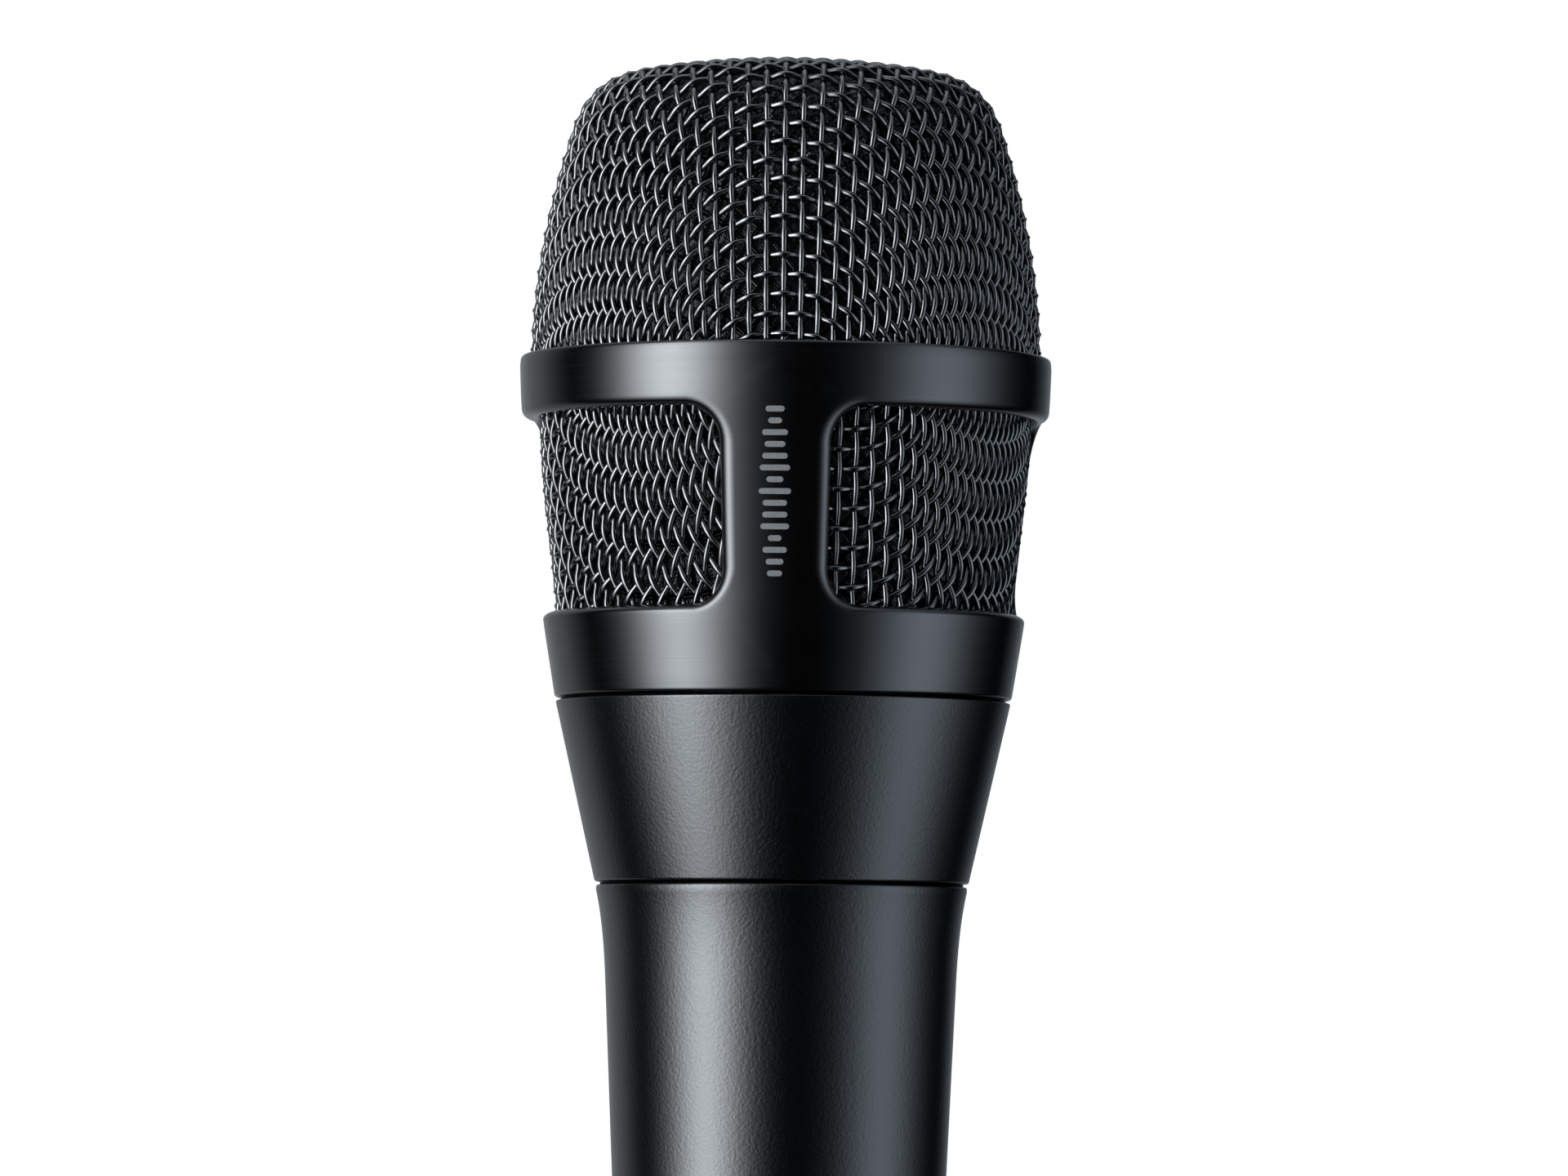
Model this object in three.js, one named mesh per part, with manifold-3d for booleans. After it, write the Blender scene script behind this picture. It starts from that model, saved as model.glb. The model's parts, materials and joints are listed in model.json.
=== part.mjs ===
// A handheld dynamic microphone: a handle with a plug socket, a screw-on head and a two-tier wire grille.
// Millimetres, +Z runs from the socket rim to the crown of the grille, and the grille's front strut faces -Y.
// Every piece is one closed solid, and neighbours keep a small gap, so that each can move or be taken out.

import * as THREE from "three";
import { mergeVertices } from "three/addons/utils/BufferGeometryUtils.js";
import Module from "manifold-3d";

const wasm = await Module();
wasm.setup();

// ---------------------------------------------------------------- driving dimensions

const GAP = 0.3; // between neighbours that touch or screw together on the real thing
const ROUND = { shell: 36, inner: 20, small: 10 }; // facets round a turned piece
const WELD = 1e-4; // vertices nearer than this are one

const height = 187; // socket rim to crown
const seam = { handleTop: 107.7, neckBottom: 108, neckTop: 125.3, collarBottom: 125.6 };

// Handle: a long taper that flares where it meets the neck.
const handle = {
  baseRadius: 12.5,
  taperTop: { r: 16.8, z: 98.8 },
  flare: { r: 17.03, z: 104 },
  lip: { r: 17.75, z: 107.2 },
  wall: 2.3,
};
const taperSlope = (handle.taperTop.r - handle.baseRadius) / handle.taperTop.z;

// Plug socket: a three-pin audio connector in the foot of the handle.
const socket = { radius: 8.3, depth: 15.5, pinRadius: 1.18, pinCircle: 4, pinTip: 1.2, pinTail: 24.2 };
const insert = { radius: 9.3, bottom: 15.8, top: 20.5, chamberTop: 25 };
const outputBoard = { radius: 9.3, bottom: 21.6, top: 22.8 };
const clampScrew = { z: 18.1, radius: 1.3, tip: 7.9, head: 13.05, slotWidth: 0.6, slotDepth: 0.6 };
const groundStrip = { inner: 5.9, outer: 9.3, thickness: 0.4, width: 2.4, upright: 3.4 };

// Upper handle: seat of the contact board, then the threaded bore for the neck.
const boardSeat = 95.7;
const seatLip = { width: 0.6, height: 3 };
const handleThread = { radius: 15, bottom: 98.5, sealRadius: 16.1, sealFloor: 106.3 };
const contactBoard = { radius: 14.25, bottom: 96, top: 97.2 };
const springContact = { circle: 6, radius: 0.9, footRadius: 1.4, footHeight: 0.9, top: 100.2 };

const transformer = { middle: 54, width: 14, depth: 7, height: 18, limb: 4, rail: 2.2, windingDepth: 12.4 };
const cradle = { outer: 11.3, inner: 8.3, bottom: 43, top: 65 };

// Neck: a cone with a threaded spigot at each end.
const neck = {
  lowerRadius: 17.9,
  upperRadius: 21.8,
  lowerSpigot: { r: 14.7, bottom: 99 },
  upperSpigot: { r: 18.2, top: 132.8 },
  lowerBore: 12.6,
  upperBore: 16.4,
  ledge: 120,
};
const headBoard = { radius: 12.3, bottom: 100.5, top: 101.7 };

// Shock mount: a flange on the cartridge tube, held between two rubber rings.
const mount = { flangeRadius: 14.6, flangeBottom: 125.2, flangeTop: 126.8, capBottom: 130.6, capTop: 132.5 };
const rubber = { inner: 11.6, outer: 15.6 };

// Cartridge: a moving-coil element on a rear chamber tube.
const tube = { radius: 10.5, wall: 1.2, bottom: 116, top: 149.6 };
const cartridge = { radius: 16.5, wall: 1.3, bottom: 150, floor: 151.6, top: 172.2, floorHole: 7 };
const rearPorts = { count: 8, size: 4, middle: 156.2 };
const portScreenTop = 159.9;
const yoke = { radius: 12, bore: 10, bottom: 151.9, floor: 153.4, top: 161 };
const magnet = { radius: 8.5, bottom: 153.7, top: 158.7 };
const polePlate = { radius: 8.5, bottom: 159, top: 161 };
const coil = { inner: 9, outer: 9.5, bottom: 158.4, top: 163.6 };
const diaphragm = { domeRadius: 9.4, domeRise: 2.6, rimRadius: 13.6, z: 163.9, thickness: 0.3 };
const clampShelf = { inner: 12.5, top: 163.2, depth: 1.6 };
const cap = { bottom: 168.6, top: 170.6, holeRadius: 1.5, holeCircle: 9.5, holes: 8 };
const capScreen = { bottom: 170.9, top: 171.4 };

// Grille: one cage (top band, struts, collar) that holds the two pressed nets.
const ring = { bottom: 152.2, top: 158.3, maxRadius: 25.5 };
const collar = { top: 133.6, bottomRadius: 21.9, topRadius: 23.1 };
const windowHalfAngle = THREE.MathUtils.degToRad(47.4);
const struts = 3;
const windowCorner = 3.4;
const cageFacets = 48;
const net = { thickness: 1.05, topRim: 154.7, lowerTop: 154, lowerBottom: 131.5 };
const liner = { inset: net.thickness + GAP, thickness: 0.4 };
const foam = { inset: liner.inset + liner.thickness + GAP, thickness: 2.4 };
const threadRing = { inner: 18.5, outer: 20.3, bottom: 127.2, top: 130.9 };
const washer = { bottom: 125.7, top: 126 };
const seals = { neckSection: 0.4, neckZ: 107, grilleSection: 0.3, grilleZ: 126.6 };
const sleeve = { handleLead: 0.6, headLead: 0.5 };

// ---------------------------------------------------------------- finishes

function finish(color, roughness, metalness = 0) {
  return new THREE.MeshStandardMaterial({ color, roughness, metalness });
}
const finishes = {
  satinBlack: finish(0x14171a, 0.42, 0.6),
  blackNickel: finish(0x2b2c2e, 0.22, 1),
  darkGauze: finish(0x0d0d0e, 0.6, 0.8),
  openFoam: finish(0x0c0c0c, 0.95),
  steel: finish(0x9b9ea1, 0.35, 1),
  brass: finish(0xb08d4a, 0.35, 1),
  gold: finish(0xd4a94e, 0.25, 1),
  nickel: finish(0xb9bcc0, 0.25, 1),
  copper: finish(0xb4683c, 0.4, 1),
  blackPlastic: finish(0x18191b, 0.5),
  greyPlastic: finish(0x4c4f54, 0.5),
  film: finish(0xcfc7a8, 0.2),
  board: finish(0x1d5b38, 0.5),
  rubber: finish(0x17171a, 0.85),
  redSleeve: finish(0x9c2a22, 0.5),
  blackSleeve: finish(0x1b1b1d, 0.5),
};

// ---------------------------------------------------------------- solids

// Joins loose triangles into one surface whose faces point out.
function welded(geometry) {
  const bare = new THREE.BufferGeometry();
  bare.setAttribute("position", geometry.getAttribute("position"));
  if (geometry.index) {
    bare.setIndex(geometry.index);
  }
  const merged = mergeVertices(bare, WELD);
  const corners = merged.index.array;
  const kept = [];
  for (let i = 0; i < corners.length; i += 3) {
    const [a, b, c] = [corners[i], corners[i + 1], corners[i + 2]];
    if (a !== b && b !== c && c !== a) {
      kept.push(a, b, c);
    }
  }
  if (signedVolume(merged.getAttribute("position"), kept) < 0) {
    kept.reverse();
  }
  merged.setIndex(kept);
  return merged;
}

function signedVolume(position, corners) {
  const [a, b, c] = [new THREE.Vector3(), new THREE.Vector3(), new THREE.Vector3()];
  let sixfold = 0;
  for (let i = 0; i < corners.length; i += 3) {
    a.fromBufferAttribute(position, corners[i]);
    b.fromBufferAttribute(position, corners[i + 1]);
    c.fromBufferAttribute(position, corners[i + 2]);
    sixfold += a.dot(b.cross(c));
  }
  return sixfold;
}

function toManifold(geometry) {
  const closed = welded(geometry);
  return new wasm.Manifold(
    new wasm.Mesh({
      numProp: 3,
      vertProperties: new Float32Array(closed.getAttribute("position").array),
      triVerts: new Uint32Array(closed.index.array),
    }),
  );
}

function fromManifold(solid) {
  const mesh = solid.getMesh();
  const geometry = new THREE.BufferGeometry();
  geometry.setAttribute("position", new THREE.BufferAttribute(mesh.vertProperties, 3));
  geometry.setIndex(new THREE.BufferAttribute(mesh.triVerts, 1));
  return geometry;
}

function without(geometry, ...tools) {
  const solid = tools.reduce((rest, tool) => rest.subtract(toManifold(tool)), toManifold(geometry));
  return fromManifold(solid);
}

function joined(...geometries) {
  return fromManifold(wasm.Manifold.union(geometries.map(toManifold)));
}

// A profile corner: radius, height, and the radius that rounds the corner off.
function at(r, z, fillet = 0) {
  return { r, z, fillet };
}

const FILLET_STEPS = 2;

// The arc that replaces one corner of a closed profile.
function filletArc(before, corner, after) {
  const point = new THREE.Vector2(corner.r, corner.z);
  const back = new THREE.Vector2(before.r, before.z).sub(point);
  const forth = new THREE.Vector2(after.r, after.z).sub(point);
  const room = 0.49 * Math.min(back.length(), forth.length());
  back.normalize();
  forth.normalize();
  const halfAngle = Math.acos(THREE.MathUtils.clamp(back.dot(forth), -1, 1)) / 2;
  const reach = Math.min(corner.fillet / Math.tan(halfAngle), room);
  const radius = reach * Math.tan(halfAngle);
  const centre = back.clone().add(forth).normalize().multiplyScalar(radius / Math.sin(halfAngle)).add(point);
  const start = back.multiplyScalar(reach).add(point).sub(centre);
  const end = forth.multiplyScalar(reach).add(point).sub(centre);
  const sweep = Math.PI - 2 * halfAngle;
  const arc = [];
  for (let step = 0; step <= FILLET_STEPS; step += 1) {
    const share = step / FILLET_STEPS;
    const fromStart = start.clone().multiplyScalar(Math.sin((1 - share) * sweep) / Math.sin(sweep));
    const fromEnd = end.clone().multiplyScalar(Math.sin(share * sweep) / Math.sin(sweep));
    arc.push(fromStart.add(fromEnd).add(centre));
  }
  return arc;
}

// A solid of revolution about Z from the corners of a closed profile.
function turned(corners, facets = ROUND.inner) {
  const outline = corners.flatMap((corner, i) => {
    const before = corners[(i + corners.length - 1) % corners.length];
    const after = corners[(i + 1) % corners.length];
    return corner.fillet > 0 ? filletArc(before, corner, after) : [new THREE.Vector2(corner.r, corner.z)];
  });
  outline.push(outline[0].clone());
  return welded(new THREE.LatheGeometry(outline, facets).rotateX(Math.PI / 2));
}

function tubePiece(outer, inner, bottom, top, edge = 0) {
  return turned([at(inner, bottom), at(outer, bottom, edge), at(outer, top, edge), at(inner, top)]);
}

function discPiece(radius, bottom, top, edge = 0, facets = ROUND.inner) {
  return turned([at(0, bottom), at(radius, bottom, edge), at(radius, top, edge), at(0, top)], facets);
}

function sealRing(circle, section, z) {
  return welded(new THREE.TorusGeometry(circle, section, 6, ROUND.inner).translate(0, 0, z));
}

function rod(radius, bottom, top, x = 0, y = 0, facets = ROUND.small) {
  return discPiece(radius, bottom, top, 0, facets).translate(x, y, 0);
}

function block(width, depth, tall, x, y, z) {
  return new THREE.BoxGeometry(width, depth, tall).translate(x, y, z);
}

function roundedBlock(width, depth, tall, edge) {
  const shape = new THREE.Shape();
  const [x, y] = [width / 2, depth / 2];
  shape.moveTo(x - edge, -y);
  shape.absarc(x - edge, -y + edge, edge, -Math.PI / 2, 0);
  shape.absarc(x - edge, y - edge, edge, 0, Math.PI / 2);
  shape.absarc(-x + edge, y - edge, edge, Math.PI / 2, Math.PI);
  shape.absarc(-x + edge, -y + edge, edge, Math.PI, 1.5 * Math.PI);
  const solid = new THREE.ExtrudeGeometry(shape, { depth: tall, bevelEnabled: false, curveSegments: 4 });
  return solid.translate(0, 0, -tall / 2);
}

// Points along a quadratic curve in the (radius, height) plane, both ends included.
function bend(from, control, to, steps) {
  const curve = new THREE.QuadraticBezierCurve(
    new THREE.Vector2(from.r, from.z),
    new THREE.Vector2(control.r, control.z),
    new THREE.Vector2(to.r, to.z),
  );
  return curve.getPoints(steps).map((point) => at(point.x, point.y));
}

// A skin of even thickness that lies inset from a row of points of a curve of revolution.
function skin(points, inset, thickness, facets = ROUND.inner) {
  const place = (i, depth) => {
    const before = points[Math.max(i - 1, 0)];
    const after = points[Math.min(i + 1, points.length - 1)];
    const along = after.clone().sub(before).normalize();
    const isCrown = points[i].x === 0;
    const inward = isCrown ? new THREE.Vector2(0, -1) : new THREE.Vector2(along.y, -along.x);
    return at(points[i].x + inward.x * depth, points[i].y + inward.y * depth);
  };
  const outside = points.map((_, i) => place(i, inset));
  const inside = points.map((_, i) => place(i, inset + thickness)).reverse();
  return turned([...outside, ...inside], facets);
}

// A wire of round section along a smooth path.
function lead(points, radius) {
  const path = new THREE.CatmullRomCurve3(points.map(([x, y, z]) => new THREE.Vector3(x, y, z)));
  const section = new THREE.Shape().absarc(0, 0, radius, 0, 2 * Math.PI);
  const options = { steps: points.length * 3, extrudePath: path, curveSegments: 3, bevelEnabled: false };
  return welded(new THREE.ExtrudeGeometry(section, options));
}

// ---------------------------------------------------------------- handle

function taperRadius(z) {
  return handle.baseRadius + taperSlope * z;
}

function handleShell() {
  const boreAt = (z) => taperRadius(z) - handle.wall;
  const shell = turned(
    [
      at(socket.radius, 0, 0.5),
      at(handle.baseRadius, 0, 0.9),
      ...bend(handle.taperTop, handle.flare, handle.lip, 4),
      at(handle.lip.r, seam.handleTop, 0.35),
      at(handleThread.sealRadius, seam.handleTop),
      at(handleThread.sealRadius, handleThread.sealFloor),
      at(handleThread.radius, handleThread.sealFloor),
      at(handleThread.radius, handleThread.bottom),
      at(contactBoard.radius + GAP, handleThread.bottom),
      at(contactBoard.radius + GAP, boardSeat),
      at(boreAt(boardSeat) - seatLip.width, boardSeat),
      at(boreAt(boardSeat) - seatLip.width, boardSeat - seatLip.height),
      at(boreAt(insert.chamberTop), insert.chamberTop + 2),
      at(insert.radius + GAP, insert.chamberTop),
      at(insert.radius + GAP, socket.depth),
      at(socket.radius, socket.depth),
    ],
    ROUND.shell,
  );
  return without(shell, screwHole());
}

// The clamp screw's hole, from inside the insert out through the shell at the back.
function screwHole() {
  const blindEnd = clampScrew.tip - GAP;
  const past = handle.baseRadius + 4;
  return rod(clampScrew.radius + GAP, blindEnd, past).rotateX(-Math.PI / 2).translate(0, 0, clampScrew.z);
}

// The three pins stand on a circle at the sides and the front of the socket.
const pinPlaces = [0, Math.PI, 1.5 * Math.PI].map((angle) => [
  socket.pinCircle * Math.cos(angle),
  socket.pinCircle * Math.sin(angle),
]);

function pinHoles(bottom, top) {
  return pinPlaces.map(([x, y]) => rod(socket.pinRadius + GAP, bottom, top, x, y));
}

function xlrInsert() {
  const disc = discPiece(insert.radius, insert.bottom, insert.top, 0.3);
  return without(disc, screwHole(), ...pinHoles(insert.bottom - 1, insert.top + 1));
}

function xlrPin([x, y]) {
  const { pinRadius, pinTip, pinTail } = socket;
  const pin = turned(
    [at(0, pinTip), at(pinRadius, pinTip, pinRadius * 0.85), at(pinRadius, pinTail, 0.3), at(0, pinTail)],
    ROUND.small,
  );
  return pin.translate(x, y, 0);
}

function insertScrew() {
  const length = clampScrew.head - clampScrew.tip;
  const body = discPiece(clampScrew.radius, 0, length, 0.2, ROUND.small);
  const slot = block(clampScrew.slotWidth, 4 * clampScrew.radius, 2 * clampScrew.slotDepth, 0, 0, length);
  return without(body, slot).rotateX(-Math.PI / 2).translate(0, clampScrew.tip, clampScrew.z);
}

// A bent strip that ties the insert's ground side to the shell.
function groundSpring() {
  const { inner, outer, thickness, width, upright } = groundStrip;
  const profile = new THREE.Shape();
  profile.moveTo(inner, 0);
  profile.lineTo(outer, 0);
  profile.lineTo(outer, upright);
  profile.lineTo(outer - thickness, upright);
  profile.lineTo(outer - thickness, thickness);
  profile.lineTo(inner, thickness);
  const strip = new THREE.ExtrudeGeometry(profile, { depth: width, bevelEnabled: false });
  return strip.rotateX(Math.PI / 2).translate(0, width / 2, insert.top + GAP);
}

function outputPcb() {
  const disc = discPiece(outputBoard.radius, outputBoard.bottom, outputBoard.top, 0);
  const thickness = outputBoard.top - outputBoard.bottom;
  const notchDepth = 1;
  const notchWidth = groundStrip.width + 2 * GAP;
  const notch = block(2 * notchDepth, notchWidth, 3 * thickness, outputBoard.radius, 0, outputBoard.bottom);
  return without(disc, notch, ...pinHoles(outputBoard.bottom - 1, outputBoard.top + 1));
}

function transformerCore() {
  const { middle, width, depth, height: tall, limb, rail } = transformer;
  const openingWidth = (width - limb) / 2 - rail;
  const opening = (side) =>
    block(openingWidth, depth * 2, tall - 2 * rail, side * (limb + openingWidth) * 0.5, 0, middle);
  return without(block(width, depth, tall, 0, 0, middle), opening(-1), opening(1));
}

function transformerWinding() {
  const { middle, width, depth, height: tall, limb, rail, windingDepth } = transformer;
  const openingWidth = (width - limb) / 2 - rail;
  const outerWidth = limb + 2 * openingWidth - 2 * GAP;
  const tallInside = tall - 2 * rail - 2 * GAP;
  const outside = roundedBlock(outerWidth, windingDepth, tallInside, 1.6);
  const hole = block(limb + 2 * GAP, depth + 2 * GAP, tall, 0, 0, 0);
  return without(outside, hole).translate(0, 0, middle);
}

function lowerLead(side) {
  const top = transformer.middle - transformer.height / 2 - 0.6;
  return lead(
    [
      [side * 2, 4, outputBoard.top + GAP],
      [side * 2.4, 4.6, 28],
      [side * 3.4, 3, 36],
      [side * 3, 1.4, top],
    ],
    sleeve.handleLead,
  );
}

function upperLead(side) {
  const bottom = transformer.middle + transformer.height / 2 + 0.6;
  return lead(
    [
      [side * 3, -1.4, bottom],
      [side * 3.6, -3, 72],
      [side * 4.6, 2, 84],
      [side * 5.2, 1, contactBoard.bottom - GAP],
    ],
    sleeve.handleLead,
  );
}

function springContactPin(index) {
  const angle = (index * 2 * Math.PI) / 3 + Math.PI / 2;
  const [x, y] = [springContact.circle * Math.cos(angle), springContact.circle * Math.sin(angle)];
  const seatBottom = contactBoard.top + GAP;
  const pin = turned(
    [
      at(0, seatBottom),
      at(springContact.footRadius, seatBottom),
      at(springContact.footRadius, seatBottom + springContact.footHeight),
      at(springContact.radius, seatBottom + springContact.footHeight),
      at(springContact.radius, springContact.top, 0.5),
      at(0, springContact.top),
    ],
    ROUND.small,
  );
  return pin.translate(x, y, 0);
}

// ---------------------------------------------------------------- neck and shock mount

function neckShell() {
  const { lowerSpigot, upperSpigot } = neck;
  return turned(
    [
      at(neck.lowerBore, lowerSpigot.bottom),
      at(lowerSpigot.r, lowerSpigot.bottom, 0.4),
      at(lowerSpigot.r, seam.neckBottom),
      at(neck.lowerRadius, seam.neckBottom, 0.4),
      at(neck.upperRadius, seam.neckTop, 0.4),
      at(upperSpigot.r, seam.neckTop),
      at(upperSpigot.r, upperSpigot.top, 0.4),
      at(neck.upperBore, upperSpigot.top),
      at(neck.upperBore, neck.ledge),
      at(neck.lowerBore, neck.ledge),
    ],
    ROUND.shell,
  );
}

function headPcb() {
  return tubePiece(headBoard.radius, 1.2, headBoard.bottom, headBoard.top, 0);
}

function rubberRing(bottom, top) {
  const middle = (bottom + top) / 2;
  return turned([
    at(rubber.inner, bottom),
    at(rubber.outer, bottom),
    at(rubber.outer - 0.5, middle),
    at(rubber.outer, top),
    at(rubber.inner, top),
    at(rubber.inner + 0.5, middle),
  ]);
}

function mountCap() {
  return tubePiece(neck.upperBore - GAP, tube.radius + 1.4, mount.capBottom, mount.capTop, 0.3);
}

function headLead(side) {
  return lead(
    [
      [side * 3, 0, headBoard.top + GAP],
      [side * 5, 2, 106],
      [side * 4, 3, 111],
      [side * 3, 1, tube.bottom - 1.6],
    ],
    sleeve.headLead,
  );
}

// ---------------------------------------------------------------- cartridge

// The rear chamber, with the flange that the rubber rings hold.
function rearTube() {
  const { radius, wall, bottom, top } = tube;
  return turned([
    at(radius - wall, bottom),
    at(radius, bottom, 0.3),
    at(radius, mount.flangeBottom),
    at(mount.flangeRadius, mount.flangeBottom, 0.3),
    at(mount.flangeRadius, mount.flangeTop, 0.3),
    at(radius, mount.flangeTop),
    at(radius, top, 0.3),
    at(radius - wall, top),
  ]);
}

function terminalBoard() {
  return tubePiece(tube.radius - tube.wall - GAP, 1, tube.bottom + 0.3, tube.bottom + 1.5, 0);
}

// A cup that carries the motor, with ports through its side and a shelf for the diaphragm.
function cartridgeCase() {
  const inside = cartridge.radius - cartridge.wall;
  const cup = turned(
    [
      at(cartridge.floorHole, cartridge.bottom),
      at(cartridge.radius, cartridge.bottom, 1),
      at(cartridge.radius, cartridge.top, 0.5),
      at(inside, cartridge.top),
      at(inside, clampShelf.top),
      at(clampShelf.inner, clampShelf.top),
      at(clampShelf.inner, clampShelf.top - clampShelf.depth),
      at(inside, clampShelf.top - 2 * clampShelf.depth),
      at(inside, cartridge.floor),
      at(cartridge.floorHole, cartridge.floor),
    ],
    ROUND.shell,
  );
  const ports = [];
  for (let i = 0; i < rearPorts.count; i += 1) {
    const { size, middle } = rearPorts;
    const port = block(size, size, 2 * size, cartridge.radius, 0, middle);
    ports.push(port.rotateZ(((i + 0.5) * 2 * Math.PI) / rearPorts.count));
  }
  return without(cup, ...ports);
}

// Gauze behind the ports, which slows the air that enters from the side.
function portScreen() {
  const outer = cartridge.radius - cartridge.wall - GAP;
  return tubePiece(outer, outer - 0.5, cartridge.floor + GAP, portScreenTop);
}

function yokeCup() {
  return turned([
    at(0, yoke.bottom),
    at(yoke.radius, yoke.bottom, 0.3),
    at(yoke.radius, yoke.top, 0.2),
    at(yoke.bore, yoke.top),
    at(yoke.bore, yoke.floor),
    at(0, yoke.floor),
  ]);
}

// A shallow dome with a rolled surround, thin all over.
function diaphragmFilm() {
  const { domeRadius, domeRise, rimRadius, z, thickness } = diaphragm;
  const steps = 4;
  const height = (r) => {
    if (r <= domeRadius) {
      return z + domeRise * (1 - (r / domeRadius) ** 2);
    }
    return z + 0.9 * Math.sin((Math.PI * (r - domeRadius)) / (rimRadius - domeRadius));
  };
  const radii = [];
  for (let step = 0; step <= steps; step += 1) {
    radii.push((domeRadius * step) / steps);
  }
  for (let step = 1; step <= steps; step += 1) {
    radii.push(domeRadius + ((rimRadius - domeRadius) * step) / steps);
  }
  const under = radii.map((r) => at(r, height(r)));
  const over = radii.map((r) => at(r, height(r) + thickness)).reverse();
  return turned([...under, ...over]);
}

const resonatorRadius = cartridge.radius - cartridge.wall - GAP;

function resonatorCap() {
  const plate = turned([
    at(0, cap.bottom),
    at(resonatorRadius, cap.bottom, 0.3),
    at(resonatorRadius, cap.top, 0.4),
    at(0, cap.top),
  ]);
  const holes = [rod(cap.holeRadius, cap.bottom - 1, cap.top + 1)];
  for (let i = 0; i < cap.holes; i += 1) {
    const angle = (i * 2 * Math.PI) / cap.holes;
    const [x, y] = [cap.holeCircle * Math.cos(angle), cap.holeCircle * Math.sin(angle)];
    holes.push(rod(cap.holeRadius, cap.bottom - 1, cap.top + 1, x, y));
  }
  return without(plate, ...holes);
}

// ---------------------------------------------------------------- grille

const v2 = (r, z) => new THREE.Vector2(r, z);

// The upper net: a flat crown, a tight shoulder and a side that swells down to the band.
function topNetCurve() {
  const curve = new THREE.CurvePath();
  const shoulderStart = v2(15.2, 185.6);
  const shoulderEnd = v2(20.4, 180.6);
  const bandLine = v2(24.3, 159.4);
  curve.add(new THREE.QuadraticBezierCurve(v2(0, height), v2(7.8, height), shoulderStart));
  curve.add(new THREE.CubicBezierCurve(shoulderStart, v2(17.8, 185.1), v2(19.67, 182.8), shoulderEnd));
  curve.add(new THREE.QuadraticBezierCurve(shoulderEnd, v2(24, 169.7), bandLine));
  curve.add(new THREE.LineCurve(bandLine, v2(24.2, net.topRim)));
  return curve;
}

// The lower net: a cup that narrows from the band down into the collar.
function lowerNetCurve() {
  return new THREE.CubicBezierCurve(
    v2(23.6, net.lowerTop),
    v2(23.7, 144.5),
    v2(22, 139),
    v2(21.85, net.lowerBottom),
  );
}

// A block that follows the cage round, with rounded corners, to open one window.
function windowCutter(centreAngle) {
  const [inner, outer] = [19, 29];
  const middleRadius = 24;
  const cornerAngle = windowCorner / middleRadius;
  const [low, high] = [collar.top, ring.bottom];
  const straight = windowHalfAngle - cornerAngle;
  const angles = [];
  for (let step = 0; step < 4; step += 1) {
    angles.push(-straight - cornerAngle * Math.cos((step * Math.PI) / 8));
  }
  const spans = 16;
  for (let step = 0; step <= spans; step += 1) {
    angles.push(-straight + (2 * straight * step) / spans);
  }
  for (let step = 3; step >= 0; step -= 1) {
    angles.push(straight + cornerAngle * Math.cos((step * Math.PI) / 8));
  }
  const sections = angles.map((angle) => {
    const past = Math.max(0, Math.abs(angle) - straight) * middleRadius;
    const shrink = windowCorner - Math.sqrt(Math.max(0, windowCorner ** 2 - past ** 2));
    const [c, s] = [Math.cos(centreAngle + angle), Math.sin(centreAngle + angle)];
    return [
      [inner * c, inner * s, low + shrink],
      [outer * c, outer * s, low + shrink],
      [outer * c, outer * s, high - shrink],
      [inner * c, inner * s, high - shrink],
    ];
  });
  return lofted(sections);
}

// A closed solid through a row of four-cornered sections.
function lofted(sections) {
  const positions = sections.flat(2);
  const faces = [];
  for (let row = 0; row + 1 < sections.length; row += 1) {
    for (let side = 0; side < 4; side += 1) {
      const next = (side + 1) % 4;
      const [a, b] = [row * 4 + side, row * 4 + next];
      faces.push(a, b, b + 4, a, b + 4, a + 4);
    }
  }
  const last = (sections.length - 1) * 4;
  faces.push(0, 2, 1, 0, 3, 2, last, last + 1, last + 2, last, last + 2, last + 3);
  const geometry = new THREE.BufferGeometry();
  geometry.setAttribute("position", new THREE.Float32BufferAttribute(positions, 3));
  geometry.setIndex(faces);
  return geometry;
}

function grilleCage() {
  const blank = turned(
    [
      at(20.6, seam.collarBottom),
      at(collar.bottomRadius, seam.collarBottom, 0.3),
      at(collar.topRadius, collar.top - 0.6),
      at(ring.maxRadius - 0.1, ring.bottom + 1.4),
      at(ring.maxRadius, ring.top - 0.9),
      at(ring.maxRadius - 0.05, ring.top, 0.6),
      at(24.6, ring.top),
      at(24.6, net.topRim - GAP),
      at(23.9, net.topRim - GAP),
      at(23.9, ring.bottom - 1),
      at(22.3, collar.top + 1),
      at(22.2, net.lowerBottom - GAP),
      at(20.6, net.lowerBottom - GAP),
    ],
    cageFacets,
  );
  const windows = [];
  for (let i = 0; i < struts; i += 1) {
    windows.push(windowCutter(Math.PI / 2 + (i * 2 * Math.PI) / struts));
  }
  return without(blank, ...windows);
}

// ---------------------------------------------------------------- the whole microphone

const microphone = new THREE.Group();
microphone.name = "dynamic_microphone";

function add(name, geometry, material) {
  const mesh = new THREE.Mesh(geometry, material);
  mesh.name = name;
  microphone.add(mesh);
}

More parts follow.
